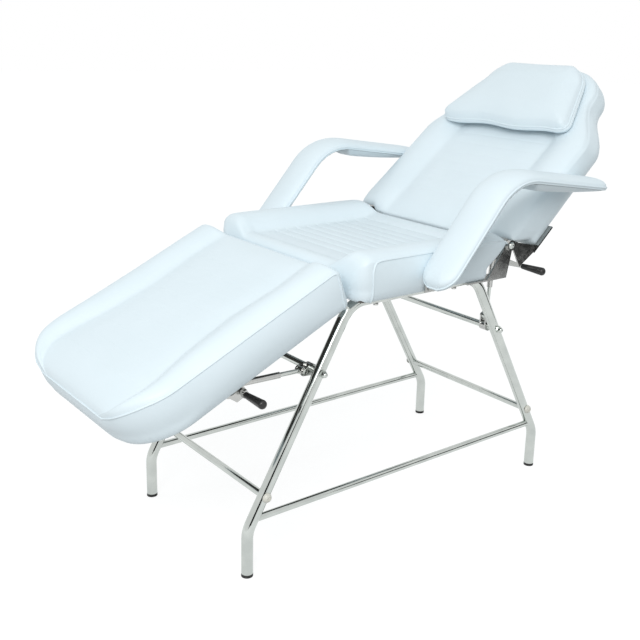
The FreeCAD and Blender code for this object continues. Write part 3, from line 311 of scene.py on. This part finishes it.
def boxed_skin(top_points, bottom_points, swell, tuck, tuck_rise):
    """Closed skin between a top and a bottom panel, whose top, bottom and wall are grids of indices."""
    rows, columns, _ = top_points.shape
    count = rows * columns
    top = np.arange(count).reshape(rows, columns)
    bottom = top + count
    rim = ring_of(top)
    foot = ring_of(bottom)
    points = [top_points.reshape(-1, 3), bottom_points.reshape(-1, 3)]
    faces = []
    for i in range(rows - 1):
        for j in range(columns - 1):
            faces.append((top[i, j], top[i + 1, j], top[i + 1, j + 1], top[i, j + 1]))
            faces.append((bottom[i, j], bottom[i, j + 1], bottom[i + 1, j + 1], bottom[i + 1, j]))
    wall = [rim]
    for row in wall_points(points[0][rim], points[1][foot - count], swell, tuck, tuck_rise):
        wall.append(np.arange(len(rim)) + sum(len(part) for part in points))
        points.append(row)
    wall.append(foot)
    for upper, lower in zip(wall, wall[1:]):
        faces += quads(upper, lower)
    return Skin(np.concatenate(points), faces, top, bottom, np.array(wall))


def plan_grid(stations, halves):
    """Plan positions of a panel: station along, and column times the half width across."""
    across = columns_across()
    along = np.repeat(stations[:, None], len(across), axis=1)
    side = halves[:, None] * across[None, :]
    return along, side


def under_level(inside, past_board):
    """Level of a cover's underside: a folded border, and a middle hidden in the board where there is one."""
    hidden = smooth(inside, fold_width, fold_width + fold_slope) * (1 - past_board)
    return board_level - fold_thickness + (fold_thickness + hidden_rise) * hidden


def new_object(name, points, faces):
    mesh = bpy.data.meshes.new(name)
    mesh.from_pydata([tuple(point) for point in points], [], [tuple(int(i) for i in face) for face in faces])
    mesh.update()
    piece = bpy.data.objects.new(name, mesh)
    bpy.context.scene.collection.objects.link(piece)
    return piece


def outward_faces(piece):
    """Turn the faces of a closed skin outward."""
    bpy.context.view_layer.objects.active = piece
    piece.select_set(True)
    bpy.ops.object.mode_set(mode="EDIT")
    bpy.ops.mesh.select_all(action="SELECT")
    bpy.ops.mesh.normals_make_consistent(inside=False)
    bpy.ops.object.mode_set(mode="OBJECT")
    piece.select_set(False)


def coordinates(piece):
    found = np.empty(len(piece.data.vertices) * 3)
    piece.data.vertices.foreach_get("co", found)
    return found.reshape(-1, 3)


def set_coordinates(piece, points):
    piece.data.vertices.foreach_set("co", points.astype(np.float32).ravel())
    piece.data.update()


# Stuffing

cloth_frames = 16
cloth_quality = 4
cloth_mass = 0.25
cloth_stretch = 12
cloth_shear = 6
cloth_bending = 3
cloth_pin = 4
cloth_pressure = 4.0
least_hold = 0.01


def stuffed(piece, held, limit):
    """Blow the skin up between the places where it is sewn or glued down, up to a limit."""
    before = coordinates(piece)
    group = piece.vertex_groups.new(name="held")
    for index, weight in enumerate(held):
        if weight > least_hold:
            group.add([index], float(weight), "REPLACE")
    modifier = piece.modifiers.new("stuffing", "CLOTH")
    settings = modifier.settings
    settings.quality = cloth_quality
    settings.mass = cloth_mass
    settings.tension_stiffness = cloth_stretch
    settings.compression_stiffness = cloth_stretch
    settings.shear_stiffness = cloth_shear
    settings.bending_stiffness = cloth_bending
    settings.vertex_group_mass = "held"
    settings.pin_stiffness = cloth_pin
    settings.use_pressure = True
    settings.uniform_pressure_force = cloth_pressure
    settings.effector_weights.gravity = 0
    modifier.collision_settings.use_collision = False
    scene = bpy.context.scene
    for moment in range(1, cloth_frames + 1):
        scene.frame_set(moment)
    shown = piece.evaluated_get(bpy.context.evaluated_depsgraph_get())
    after = np.empty(len(before) * 3)
    shown.data.vertices.foreach_get("co", after)
    after = after.reshape(-1, 3)
    piece.modifiers.remove(modifier)
    move = after - before
    size = np.linalg.norm(move, axis=1)
    move *= np.minimum(1, limit / np.maximum(size, tiny))[:, None]
    move *= (1 - np.clip(held, 0, 1))[:, None]
    set_coordinates(piece, before + move)
    scene.frame_set(1)


def held_weights(skin, lines, firm):
    """How firmly each point of a skin is held: bottom, rim and firm points fully, sewn lines as given."""
    held = np.zeros(len(skin.points))
    held[skin.top.ravel()] = lines.ravel()
    held[skin.bottom.ravel()] = 1
    held[skin.wall[0]] = 1
    held[list(firm)] = 1
    return held


def subdivided(piece):
    modifier = piece.modifiers.new("finer", "SUBSURF")
    modifier.levels = 1
    modifier.render_levels = 1
    modifier.boundary_smooth = "PRESERVE_CORNERS"
    shown = piece.evaluated_get(bpy.context.evaluated_depsgraph_get())
    finer = bpy.data.meshes.new_from_object(shown)
    piece.modifiers.clear()
    piece.data = finer


def smooth_shaded(piece):
    piece.data.polygons.foreach_set("use_smooth", [True] * len(piece.data.polygons))
    piece.data.update()


def finished_cushion(piece, node, body):
    smooth_shaded(piece)
    piece.data.materials.clear()
    piece.data.materials.append(materials["white_vinyl"])
    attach(piece, body)
    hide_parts(node)


# Piping

def sewn_line(name, points, radius, body, closed):
    """Round cord along a row of points."""
    curve = bpy.data.curves.new(name, "CURVE")
    curve.dimensions = "3D"
    curve.bevel_depth = radius
    curve.bevel_resolution = welt_facets
    curve.use_fill_caps = True
    spline = curve.splines.new("POLY")
    spline.points.add(len(points) - 1)
    for target, point in zip(spline.points, points):
        target.co = (point[0], point[1], point[2], 1)
    spline.use_cyclic_u = closed
    holder = bpy.data.objects.new(name + "_path", curve)
    bpy.context.scene.collection.objects.link(holder)
    shown = holder.evaluated_get(bpy.context.evaluated_depsgraph_get())
    mesh = bpy.data.meshes.new_from_object(shown)
    mesh.name = name
    bpy.data.objects.remove(holder)
    piece = bpy.data.objects.new(name, mesh)
    bpy.context.scene.collection.objects.link(piece)
    smooth_shaded(piece)
    mesh.materials.clear()
    mesh.materials.append(materials["white_vinyl"])
    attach(piece, body)


def on_wall(shape, wall, row, place):
    """Point of a skin's wall at a row and a place round it, either of which may lie between two."""
    rows, count = wall.shape
    upper = min(int(row), rows - 2)
    first = int(math.floor(place))
    down = row - upper
    ahead = place - first
    high = lerp(shape[wall[upper, first % count]], shape[wall[upper, (first + 1) % count]], ahead)
    low = lerp(shape[wall[upper + 1, first % count]], shape[wall[upper + 1, (first + 1) % count]], ahead)
    return lerp(high, low, down)


def rounded_corner(shape, wall, place, step, span):
    """Path up a side panel's end and round its upper corner to the rim, the corner spanning some rows."""
    path = [on_wall(shape, wall, row, place) for row in range(len(wall) - 1, span, -1)]
    for index in range(corner_steps + 1):
        turn = math.pi / 2 * index / corner_steps
        row = span * (1 - math.sin(turn))
        path.append(on_wall(shape, wall, row, place + step * span * (1 - math.cos(turn))))
    return path


# Materials

def shader(name):
    """New material with its node tree and its surface shader."""
    material = bpy.data.materials.new(name)
    material.use_nodes = True
    tree = material.node_tree
    return material, tree, tree.nodes["Principled BSDF"]


ramp_places = (0.3, 0.7)


def noise(tree, scale, detail):
    place = tree.nodes.new("ShaderNodeTexCoord")
    node = tree.nodes.new("ShaderNodeTexNoise")
    node.inputs["Scale"].default_value = scale
    node.inputs["Detail"].default_value = detail
    tree.links.new(place.outputs["Object"], node.inputs["Vector"])
    return node


def varied(tree, surface, socket, source, low, high):
    """Let a socket of the surface go from low to high as a noise does."""
    node = tree.nodes.new("ShaderNodeValToRGB")
    for element, place, colour in zip(node.color_ramp.elements, ramp_places, (low, high)):
        element.position = place
        element.color = (*colour, 1)
    tree.links.new(source.outputs["Fac"], node.inputs["Fac"])
    tree.links.new(node.outputs["Color"], surface.inputs[socket])


def bump(tree, surface, source, strength, distance):
    """Fine relief from a noise."""
    node = tree.nodes.new("ShaderNodeBump")
    node.inputs["Strength"].default_value = strength
    node.inputs["Distance"].default_value = distance
    tree.links.new(source.outputs["Fac"], node.inputs["Height"])
    tree.links.new(node.outputs["Normal"], surface.inputs["Normal"])


def grey(value):
    return (value, value, value)


def vinyl_material():
    """White vinyl with a cool cast, a fine grain and a soft sheen."""
    material, tree, surface = shader("white_vinyl")
    cloud = noise(tree, scale=9, detail=3)
    varied(tree, surface, "Base Color", cloud, (0.752, 0.840, 0.884), (0.776, 0.860, 0.906))
    varied(tree, surface, "Roughness", cloud, grey(0.40), grey(0.50))
    surface.inputs["Specular IOR Level"].default_value = 0.35
    grain = noise(tree, scale=1400, detail=2)
    bump(tree, surface, grain, strength=0.12, distance=0.0004)
    return material


def board_material():
    """Board stained dark, with grain; its dark colour is partly painted shade, standing in for the shade on
    the undersides of the arms.
    """
    material, tree, surface = shader("plywood")
    streak = noise(tree, scale=60, detail=5)
    # Dark base colour: part stain, part painted shade that makes the board's underside read as dark as the
    # shaded underside of an arm.
    varied(tree, surface, "Base Color", streak, (0.050, 0.046, 0.042), (0.100, 0.092, 0.084))
    surface.inputs["Roughness"].default_value = 0.7
    bump(tree, surface, streak, strength=0.2, distance=0.0005)
    return material


def chrome_material():
    """Chromium plate, cool and a little green."""
    material, tree, surface = shader("chrome")
    cloud = noise(tree, scale=25, detail=2)
    varied(tree, surface, "Base Color", cloud, (0.50, 0.53, 0.51), (0.58, 0.61, 0.585))
    varied(tree, surface, "Roughness", cloud, grey(0.07), grey(0.12))
    surface.inputs["Metallic"].default_value = 1
    return material


def zinc_material():
    """Bright zinc-plated steel with fine rolling marks."""
    material, tree, surface = shader("zinc_steel")
    cloud = noise(tree, scale=60, detail=2)
    varied(tree, surface, "Base Color", cloud, (0.47, 0.475, 0.465), (0.53, 0.535, 0.52))
    varied(tree, surface, "Roughness", cloud, grey(0.16), grey(0.22))
    surface.inputs["Metallic"].default_value = 1
    return material


def black_plastic_material():
    material, tree, surface = shader("black_plastic")
    cloud = noise(tree, scale=300, detail=3)
    varied(tree, surface, "Base Color", cloud, grey(0.010), grey(0.018))
    surface.inputs["Roughness"].default_value = 0.34
    bump(tree, surface, cloud, strength=0.08, distance=0.0003)
    return material


def rubber_material():
    material, tree, surface = shader("black_rubber")
    cloud = noise(tree, scale=400, detail=3)
    varied(tree, surface, "Base Color", cloud, grey(0.016), grey(0.030))
    surface.inputs["Roughness"].default_value = 0.75
    bump(tree, surface, cloud, strength=0.15, distance=0.0003)
    return material


def cream_plastic_material():
    material, tree, surface = shader("cream_plastic")
    cloud = noise(tree, scale=200, detail=2)
    varied(tree, surface, "Base Color", cloud, (0.66, 0.645, 0.58), (0.74, 0.72, 0.65))
    surface.inputs["Roughness"].default_value = 0.3
    return material


materials = {
    "white_vinyl": vinyl_material(),
    "plywood": board_material(),
    "chrome": chrome_material(),
    "zinc_steel": zinc_material(),
    "black_plastic": black_plastic_material(),
    "black_rubber": rubber_material(),
    "cream_plastic": cream_plastic_material(),
}


def dress_nodes():
    """Give each node of the part the finish of its slot."""
    slots = {item["node"]: item["material_slot"] for item in record["subparts"]}
    for name, node in frame["nodes"].items():
        node.data.materials.clear()
        node.data.materials.append(materials[slots[name]])


# Cushion forms

def bolster_fall(share, crisp):
    """Height share of a bolster from its crest to the panel, meeting it softly or in a crease."""
    past = np.clip((share - crest_share) / (1 - crest_share), 0, 1)
    soft = 0.5 + 0.5 * np.cos(math.pi * past)
    creased = np.cos(math.pi / 2 * past)
    return lerp(soft, creased, crisp)


def bolster_dome(inside, width, crisp):
    """Height share of a bolster: steep at the seam, full at its crest, easy towards the panel."""
    share = np.clip(inside / width, 0, 1)
    return np.where(share < crest_share, ease(share, crest_share), bolster_fall(share, crisp))


def channel_cut(along, centres):
    """Depth of the sewn channels at places along a panel."""
    depth = np.zeros_like(along)
    for centre in centres:
        depth = np.maximum(depth, np.exp(-((along - centre) / channel_spread) ** 2))
    return depth


def channels(start, step, count):
    return [start + step * index for index in range(count)]


def crease_line(inside, width, spread):
    return np.exp(-((inside - width) / spread) ** 2)


def sewn_cover(name, matrix, skin, lines, limit, node, body, firm=()):
    """Cover from a skin: placed, stuffed and finished. Gives its points before they are subdivided."""
    piece = new_object(name, placed(matrix, skin.points), skin.faces)
    outward_faces(piece)
    stuffed(piece, held_weights(skin, lines, firm), limit)
    shape = coordinates(piece)
    subdivided(piece)
    finished_cushion(piece, node, body)
    return shape


def seat():
    centres = channels(seat_channel_start, seat_channel_step, seat_channel_count)
    length = seat_rear_top - seat_front
    stations = rows_along(0, length, centres)
    halves = seat_half - seat_corner * (1 - ease(stations, seat_corner))
    along, side = plan_grid(stations, halves)
    inside = halves[:, None] - np.abs(side)
    nose = ease(along, seat_nose)
    tail = ease(length - along, seat_nose)
    rim_level = board_level + seat_height * lerp(seat_front_share, 1, nose) * lerp(seat_rear_share, 1, tail)
    crown = seat_crown * nose * lerp(seat_rear_crown, 1, tail)
    filled = np.clip(1 - (length - along) / seat_rear_run, 0, 1) ** 2
    beyond_roll = smooth(along, seat_front_bolster * panel_slope, seat_front_bolster)
    roll = seat_front_rise * (1 - beyond_roll) - seat_front_fall * (1 - nose)
    sunk = lerp(seat_drop, seat_rear_drop, filled)
    middle = board_level + seat_height * lerp(seat_rear_share, 1, tail) - sunk + roll
    share = inside / seat_bolster
    outer = rim_level + crown * ease(share, crest_share)
    inner = lerp(middle, rim_level + crown, bolster_fall(share, 1))
    sewn = channel_cut(along, centres) * smooth(inside, seat_bolster, seat_bolster * panel_margin)
    level = np.where(share < crest_share, outer, inner) - channel_depth * sewn
    top_points = np.stack([seat_front + along, side, level], axis=2)
    bottom_x = lerp(seat_front + tuck_in, seat_rear_bottom, along / length)
    bottom_side = side * (1 - tuck_in / seat_half)
    to_end = np.minimum(bottom_x - seat_front - tuck_in, seat_rear_bottom - bottom_x)
    past_board = smooth(bottom_x, seat_board_end - board_overlap, seat_board_end - board_overlap / 2)
    low = under_level(np.minimum(inside, to_end), past_board)
    bottom_points = np.stack([bottom_x, bottom_side, low], axis=2)
    skin = boxed_skin(top_points, bottom_points, side_swell, tuck_in, tuck_height)
    in_panel = smooth(inside, seat_bolster * panel_slope, seat_bolster)
    lines = np.maximum(sewn, crease_line(inside, seat_bolster, seat_crease) * beyond_roll)
    lines = np.maximum(lines, crease_line(along, seat_front_bolster, seat_crease) * in_panel)
    shape = sewn_cover("seat_cover", Matrix.Identity(4), skin, lines, seat_bulge, "seat_cushion", "base")
    wall = skin.wall
    first = int(np.searchsorted(stations, seat_corner))
    for name, start, step in (("near", wall.shape[1] - first, -1), ("far", column_count - 1 + first, 1)):
        path = rounded_corner(shape, wall, start, step, seat_corner_span)
        run = range(seat_corner_span + 1, len(stations) - first)
        path += [shape[wall[0, (start + step * index) % wall.shape[1]]] for index in run]
        sewn_line("seat_welt_" + name, path, welt_radius, "base", False)


def leg_rest():
    centres = channels(leg_channel_start, leg_channel_step, leg_channel_count)
    stations = rows_along(0, leg_length, centres)
    halves = leg_half - leg_corner * (1 - ease(leg_length - stations, leg_corner))
    along, side = plan_grid(stations, halves)
    inside = halves[:, None] - np.abs(side)
    fall = ease(leg_length - along, leg_nose)
    rise = ease(along, leg_seat_nose)
    rim_level = board_level + seat_height * lerp(leg_foot_share, 1, fall) * lerp(leg_seat_share, 1, rise)
    widths = np.interp(along, leg_bolster_places, leg_bolster_widths)
    crown = leg_crown * fall * rise
    panel = smooth(inside, widths * panel_slope, widths) * fall
    sewn = channel_cut(along, centres) * smooth(inside, widths, widths * panel_margin) * faint_channel
    dome = bolster_dome(inside, widths, leg_crispness)
    level = rim_level + crown * dome - leg_drop * panel - channel_depth * sewn
    top_points = np.stack([leg_start - along, side, level], axis=2)
    bottom_along = lerp(tuck_in, leg_length - tuck_in, along / leg_length)
    bottom_side = side * (1 - tuck_in / leg_half)
    past_board = smooth(bottom_along, leg_board_end - board_overlap, leg_board_end - board_overlap / 2)
    low = under_level(np.minimum(inside, bottom_along), past_board)
    bottom_points = np.stack([leg_start - bottom_along, bottom_side, low], axis=2)
    swell = np.full(rim_count(side), side_swell)
    swell[:column_count] = 0
    skin = boxed_skin(top_points, bottom_points, swell, tuck_in, tuck_height)
    lines = np.maximum(sewn, crease_line(inside, widths, leg_crease) * firm_crease)
    wall = skin.wall
    seat_end = wall[:, :column_count].ravel()
    turn = turned("leg_recline")
    shape = sewn_cover("leg_cover", turn, skin, lines, leg_bulge, "leg_cushion", "leg_rest", seat_end)
    near = wall.shape[1] - 1
    far = column_count
    path = rounded_corner(shape, wall, near, -1, leg_corner_span)
    run = range(near - leg_corner_span - 1, far + leg_corner_span, -1)
    path += [shape[wall[0, place]] for place in run]
    path += reversed(rounded_corner(shape, wall, far, 1, leg_corner_span))
    sewn_line("leg_welt", path, leg_welt_radius, "leg_rest", False)


def back_outline(stations):
    waist = smooth(stations, back_shoulder, back_neck)
    halves = lerp(back_half, back_neck_half, waist)
    share = np.clip((stations - back_neck) / (back_length - back_neck), 0, 1)
    return halves * np.sqrt(np.maximum(back_least_end, 1 - share ** 2))


def back_thickness(along):
    """Height of the back's seam over its board's underside, less towards the head."""
    share = np.clip((along - back_start_top) / (back_neck - back_start_top), 0, 1)
    return back_height - back_head_thinning * share


def back():
    hinge_x = joints["back_recline"]["pos_m"][0]
    centres = channels(back_channel_start, back_channel_step, back_channel_count)
    stations = rows_along(back_start_top, back_length, centres)
    halves = back_outline(stations)
    along, side = plan_grid(stations, halves)
    inside = halves[:, None] - np.abs(side)
    fall = ease(back_length - along, back_nose)
    rise = ease(along - back_start_top, back_lower_nose)
    edge = ease(inside, back_edge_round) * ease(back_length - along, back_edge_round)
    full = back_thickness(along) * lerp(back_head_share, 1, fall) * lerp(back_lower_share, 1, rise)
    rim_level = board_level + full * lerp(back_seam_share, 1, edge)
    widths = np.minimum(back_bolster, back_bolster_share * halves)[:, None] * np.ones_like(side)
    crown = back_crown * fall * rise
    filled = smooth(along, back_panel_end, back_panel_end + back_panel_fill)
    dome = bolster_dome(inside, widths, back_crispness)
    dome = lerp(dome, np.where(inside > widths * crest_share, 1, dome), filled)
    panel = smooth(inside, widths * panel_slope, widths) * (1 - filled)
    sewn = channel_cut(along, centres) * smooth(inside, widths, widths * panel_margin) * faint_channel
    level = rim_level + crown * dome - back_drop * panel - channel_depth * sewn
    rolled = 1 - smooth(np.abs(side), back_roll_half - back_roll_edge, back_roll_half)
    top_points = np.stack([hinge_x + along - back_roll_run * rolled * (1 - rise), side, level], axis=2)
    share = (along - back_start_top) / (back_length - back_start_top)
    bottom_along = lerp(back_start_bottom, back_length - tuck_in, share)
    past_board = 1 - smooth(bottom_along, back_board_start, back_board_start + board_overlap)
    past_board = np.maximum(past_board, smooth(bottom_along, back_board_end - board_overlap, back_board_end))
    low = under_level(inside - back_board_inset + tuck_in, past_board)
    bottom_points = np.stack([hinge_x + bottom_along, side * (1 - tuck_in / back_half), low], axis=2)
    swell = np.zeros(rim_count(side))
    swell[:column_count] = back_roll_swell * rolled[0]
    skin = boxed_skin(top_points, bottom_points, swell, tuck_in, tuck_height)
    rim = skin.wall[0]
    skin.points[rim, :2] -= outward(skin.points[rim]) * seam_depth
    lines = np.maximum(sewn, crease_line(inside, widths, leg_crease) * firm_crease * panel)
    sewn_cover("back_cover", turned("back_recline"), skin, lines, back_bulge, "back_cushion", "back")


def pillow():
    hinge_x = joints["back_recline"]["pos_m"][0]
    stations = rows_along(pillow_start, pillow_end)
    share = (stations - pillow_start) / (pillow_end - pillow_start)
    halves = lerp(pillow_half, pillow_top_half, share)
    halves -= pillow_corner * (1 - ease(pillow_end - stations, pillow_corner))
    halves -= pillow_lower_corner * (1 - ease(stations - pillow_start, pillow_lower_corner))
    along, side = plan_grid(stations, halves)
    inside = np.minimum(halves[:, None] - np.abs(side), np.minimum(along - pillow_start, pillow_end - along))
    rest = board_level + back_thickness(along) + back_crown + pillow_clearance
    crown = (pillow_thickness - pillow_edge) * ease(inside, pillow_corner) ** pillow_fullness
    wave = pillow_wave * np.sin(2 * math.pi * side / pillow_wave_length) * (1 - share[:, None]) ** 2
    top_points = np.stack([hinge_x + along + wave, side, rest + pillow_edge + crown], axis=2)
    bottom_along = lerp(pillow_start + pillow_tuck, pillow_end - pillow_tuck, share)[:, None] + wave
    bottom_side = side * (1 - pillow_tuck / pillow_half)
    bottom_points = np.stack([hinge_x + bottom_along, bottom_side, rest], axis=2)
    skin = boxed_skin(top_points, bottom_points, pillow_swell, pillow_tuck, pillow_tuck)
    loose = np.zeros_like(side)
    turn = turned("back_recline")
    shape = sewn_cover("pillow_cover", turn, skin, loose, pillow_bulge, "head_pillow", "back")
    sewn_line("pillow_welt", shape[skin.wall[0]], welt_radius, "back", True)


# Arms

def arm_path():
    """Function that gives place and upward direction along the arm's board, its length and its bend's end."""
    tip = np.array(arm_tip)
    bend = np.array(arm_bend)
    end = np.array(arm_end)
    front = (bend - tip) / np.linalg.norm(bend - tip)
    rear = (end - bend) / np.linalg.norm(end - bend)
    turn = math.acos(float(front @ rear))
    reach = arm_bend_radius * math.tan(turn / 2)
    first = np.linalg.norm(bend - tip) - reach
    arc = arm_bend_radius * turn
    last = np.linalg.norm(end - bend) - reach
    front_up = np.array([-front[1], front[0]])
    centre = tip + front * first - front_up * arm_bend_radius

    def at(distance):
        angle = np.clip((distance - first) / arm_bend_radius, 0, turn)
        cosine = np.cos(angle)
        sine = np.sin(angle)
        up_x = front_up[0] * cosine + front_up[1] * sine
        up_z = -front_up[0] * sine + front_up[1] * cosine
        before = np.minimum(distance - first, 0)
        after = np.maximum(distance - first - arc, 0)
        x = centre[0] + arm_bend_radius * up_x + front[0] * before + rear[0] * after
        z = centre[1] + arm_bend_radius * up_z + front[1] * before + rear[1] * after
        return x, z, up_x, up_z
    return at, first + arc + last, first + arc


def on_arm(at, side_sign, points):
    """World points from a distance along the arm, an offset across and a height over its board."""
    x, z, up_x, up_z = at(points[:, 0])
    height = points[:, 2]
    return np.stack([x + up_x * height, side_sign * arm_middle + points[:, 1], z + up_z * height], axis=1)


def arm_skin(name, node, at, side_sign, skin):
    """Finished cover of an arm's pad, from a skin drawn along a straight arm. Gives its points."""
    piece = new_object(name, on_arm(at, side_sign, skin.points), skin.faces)
    outward_faces(piece)
    shape = coordinates(piece)
    subdivided(piece)
    finished_cushion(piece, node, "base")
    return shape


def arm_pad(name, side_sign):
    """Crowned cover that comes down over the edge of the arm's board, with piping along its lower edge."""
    at, length, _ = arm_path()
    stations = rows_along(-arm_cover, length + arm_cover)
    to_end = np.minimum(stations + arm_cover, length + arm_cover - stations)
    halves = (arm_half + arm_cover) * ease(to_end + arm_tuck, arm_half)
    along, across = plan_grid(stations, halves)
    inside = np.minimum(halves[:, None] - np.abs(across), to_end[:, None])
    height = arm_edge + arm_crown * ease(inside, arm_half)
    top_points = np.stack([along, across, height], axis=2)
    low = lerp(-arm_board, arm_hidden_level, smooth(inside, 0, arm_hidden_edge))
    bottom_points = np.stack([along, across * (1 - arm_tuck / arm_half), low], axis=2)
    skin = boxed_skin(top_points, bottom_points, 0, arm_tuck, arm_tuck_height)
    shape = arm_skin(name + "_arm_cover", name + "_arm_pad", at, side_sign, skin)
    sewn_line(name + "_arm_welt", shape[skin.wall[len(wall_shares) // 2]], welt_radius, "base", True)


def arm_under_pad(name, side_sign):
    """Cover of the pad under the rear part of the arm, shallower towards its end."""
    at, length, rear_start = arm_path()
    stations = rows_along(rear_start, length - arm_tuck)
    share = (stations - rear_start) / (length - rear_start)
    depth = lerp(arm_under_depth, arm_under_end_depth, share ** 2)
    halves = (arm_half - arm_under_inset) * ease(length - stations, arm_half)
    along, across = plan_grid(stations, halves)
    inside = np.minimum(halves[:, None] - np.abs(across), np.minimum(along - rear_start, length - along))
    slope = np.clip(inside / arm_under_slope, 0, 1)
    low = -arm_board - depth[:, None] * lerp(arm_under_rim_share, 1, slope * (2 - slope))
    high_points = np.stack([along, across, np.full_like(low, -arm_board)], axis=2)
    low_points = np.stack([along, across * (1 - arm_tuck / arm_half), low], axis=2)
    skin = boxed_skin(high_points, low_points, arm_tuck, arm_tuck, arm_tuck_height)
    arm_skin(name + "_arm_under_cover", name + "_arm_under_pad", at, side_sign, skin)


# Light, floor and camera

key_direction = (-0.625, -0.570, 0.533)
key_distance = 4.0
key_size = 2.2
key_power = 78
dome_strength = 0.69
floor_bounce = 0.50
floor_seen = 0.30
floor_glow = 0.82
look_at = (0, 0, 0.6)
dome_colour = (0.93, 0.985, 1.0)
white = (1, 1, 1)
floor_size = 40
stage_roughness = 0.9
card_grey = 0.02
front_card_place = (-3.4, -3.6, 0.9)
front_card_size = (2.2, 1.3)
side_card_place = (1.8, -1.65, 0.42)
side_card_size = (1.8, 0.8)
camera_place = (-1.3885, -1.6703, 1.1169)
camera_yaw = math.radians(51.053)
camera_pitch = math.radians(14.791)
camera_roll = math.radians(-1.720)
camera_sensor_mm = 36
camera_lens_mm = 51.866
camera_shift = (-0.0369, -0.0699)


def backdrop_rays(tree):
    """Share of rays that show the backdrop itself: those of the camera, of gloss and of glass."""
    path = tree.nodes.new("ShaderNodeLightPath")
    first = tree.nodes.new("ShaderNodeMath")
    first.operation = "ADD"
    both = tree.nodes.new("ShaderNodeMath")
    both.operation = "ADD"
    both.use_clamp = True
    tree.links.new(path.outputs["Is Camera Ray"], first.inputs[0])
    tree.links.new(path.outputs["Is Glossy Ray"], first.inputs[1])
    tree.links.new(first.outputs[0], both.inputs[0])
    tree.links.new(path.outputs["Is Transmission Ray"], both.inputs[1])
    return both.outputs[0]


def floor():
    """Plain pale floor that reads white where the table casts no shadow."""
    bpy.ops.mesh.primitive_plane_add(size=floor_size, location=(0, 0, 0))
    plane = bpy.context.object
    plane.name = "floor"
    material, tree, bounced = shader("floor")
    bounced.inputs["Base Color"].default_value = (*grey(floor_bounce), 1)
    seen = tree.nodes.new("ShaderNodeBsdfPrincipled")
    seen.inputs["Base Color"].default_value = (*grey(floor_seen), 1)
    seen.inputs["Emission Color"].default_value = (*white, 1)
    seen.inputs["Emission Strength"].default_value = floor_glow
    for surface in (bounced, seen):
        surface.inputs["Roughness"].default_value = stage_roughness
        surface.inputs["Specular IOR Level"].default_value = 0
    mix = tree.nodes.new("ShaderNodeMixShader")
    tree.links.new(backdrop_rays(tree), mix.inputs["Fac"])
    tree.links.new(bounced.outputs["BSDF"], mix.inputs[1])
    tree.links.new(seen.outputs["BSDF"], mix.inputs[2])
    tree.links.new(mix.outputs["Shader"], tree.nodes["Material Output"].inputs["Surface"])
    plane.data.materials.append(material)


def surroundings():
    """Soft even light from all round, in front of a white backdrop."""
    world = bpy.data.worlds.new("studio")
    bpy.context.scene.world = world
    world.use_nodes = True
    tree = world.node_tree
    tree.nodes.clear()
    dome = tree.nodes.new("ShaderNodeBackground")
    dome.inputs["Color"].default_value = (*dome_colour, 1)
    dome.inputs["Strength"].default_value = dome_strength
    backdrop = tree.nodes.new("ShaderNodeBackground")
    backdrop.inputs["Color"].default_value = (*white, 1)
    backdrop.inputs["Strength"].default_value = 1
    mix = tree.nodes.new("ShaderNodeMixShader")
    out = tree.nodes.new("ShaderNodeOutputWorld")
    tree.links.new(backdrop_rays(tree), mix.inputs["Fac"])
    tree.links.new(dome.outputs[0], mix.inputs[1])
    tree.links.new(backdrop.outputs[0], mix.inputs[2])
    tree.links.new(mix.outputs[0], out.inputs["Surface"])


def key_lamp():
    light = bpy.data.lights.new("key", "AREA")
    light.shape = "DISK"
    light.size = key_size
    light.energy = key_power
    holder = bpy.data.objects.new("key", light)
    target = Vector(look_at)
    holder.location = target + Vector(key_direction).normalized() * key_distance
    holder.rotation_euler = (target - holder.location).to_track_quat("-Z", "Y").to_euler()
    bpy.context.scene.collection.objects.link(holder)


def dark_card(name, place, size):
    """Dark studio card that only shiny metal shows, which gives it its streaks."""
    bpy.ops.mesh.primitive_plane_add(size=1, location=place)
    card = bpy.context.object
    card.name = name
    card.scale = (*size, 1)
    facing = Vector(look_at) - Vector(place)
    card.rotation_euler = facing.to_track_quat("Z", "Y").to_euler()
    card.visible_camera = False
    card.visible_diffuse = False
    card.visible_shadow = False
    material, tree, surface = shader(name)
    surface.inputs["Base Color"].default_value = (*grey(card_grey), 1)
    surface.inputs["Roughness"].default_value = stage_roughness
    surface.inputs["Specular IOR Level"].default_value = 0
    card.data.materials.append(material)


def camera():
    place = Vector(camera_place)
    level = math.cos(camera_pitch)
    ahead = Vector((math.cos(camera_yaw) * level, math.sin(camera_yaw) * level, -math.sin(camera_pitch)))
    right = Vector((math.sin(camera_yaw), -math.cos(camera_yaw), 0))
    down = ahead.cross(right)
    rolled_right = math.cos(camera_roll) * right + math.sin(camera_roll) * down
    rolled_down = -math.sin(camera_roll) * right + math.cos(camera_roll) * down
    data = bpy.data.cameras.new("camera")
    data.sensor_width = camera_sensor_mm
    data.lens = camera_lens_mm
    data.shift_x, data.shift_y = camera_shift
    holder = bpy.data.objects.new("camera", data)
    holder.matrix_world = Matrix((
        (rolled_right.x, -rolled_down.x, -ahead.x, place.x),
        (rolled_right.y, -rolled_down.y, -ahead.y, place.y),
        (rolled_right.z, -rolled_down.z, -ahead.z, place.z),
        (0, 0, 0, 1)))
    bpy.context.scene.collection.objects.link(holder)
    bpy.context.scene.camera = holder


dress_nodes()
seat()
leg_rest()
back()
pillow()
for side_name, sign in (("left", -1), ("right", 1)):
    arm_pad(side_name, sign)
    arm_under_pad(side_name, sign)
floor()
surroundings()
key_lamp()
dark_card("front_card", front_card_place, front_card_size)
dark_card("side_card", side_card_place, side_card_size)
camera()
bpy.context.scene.view_settings.view_transform = "Standard"
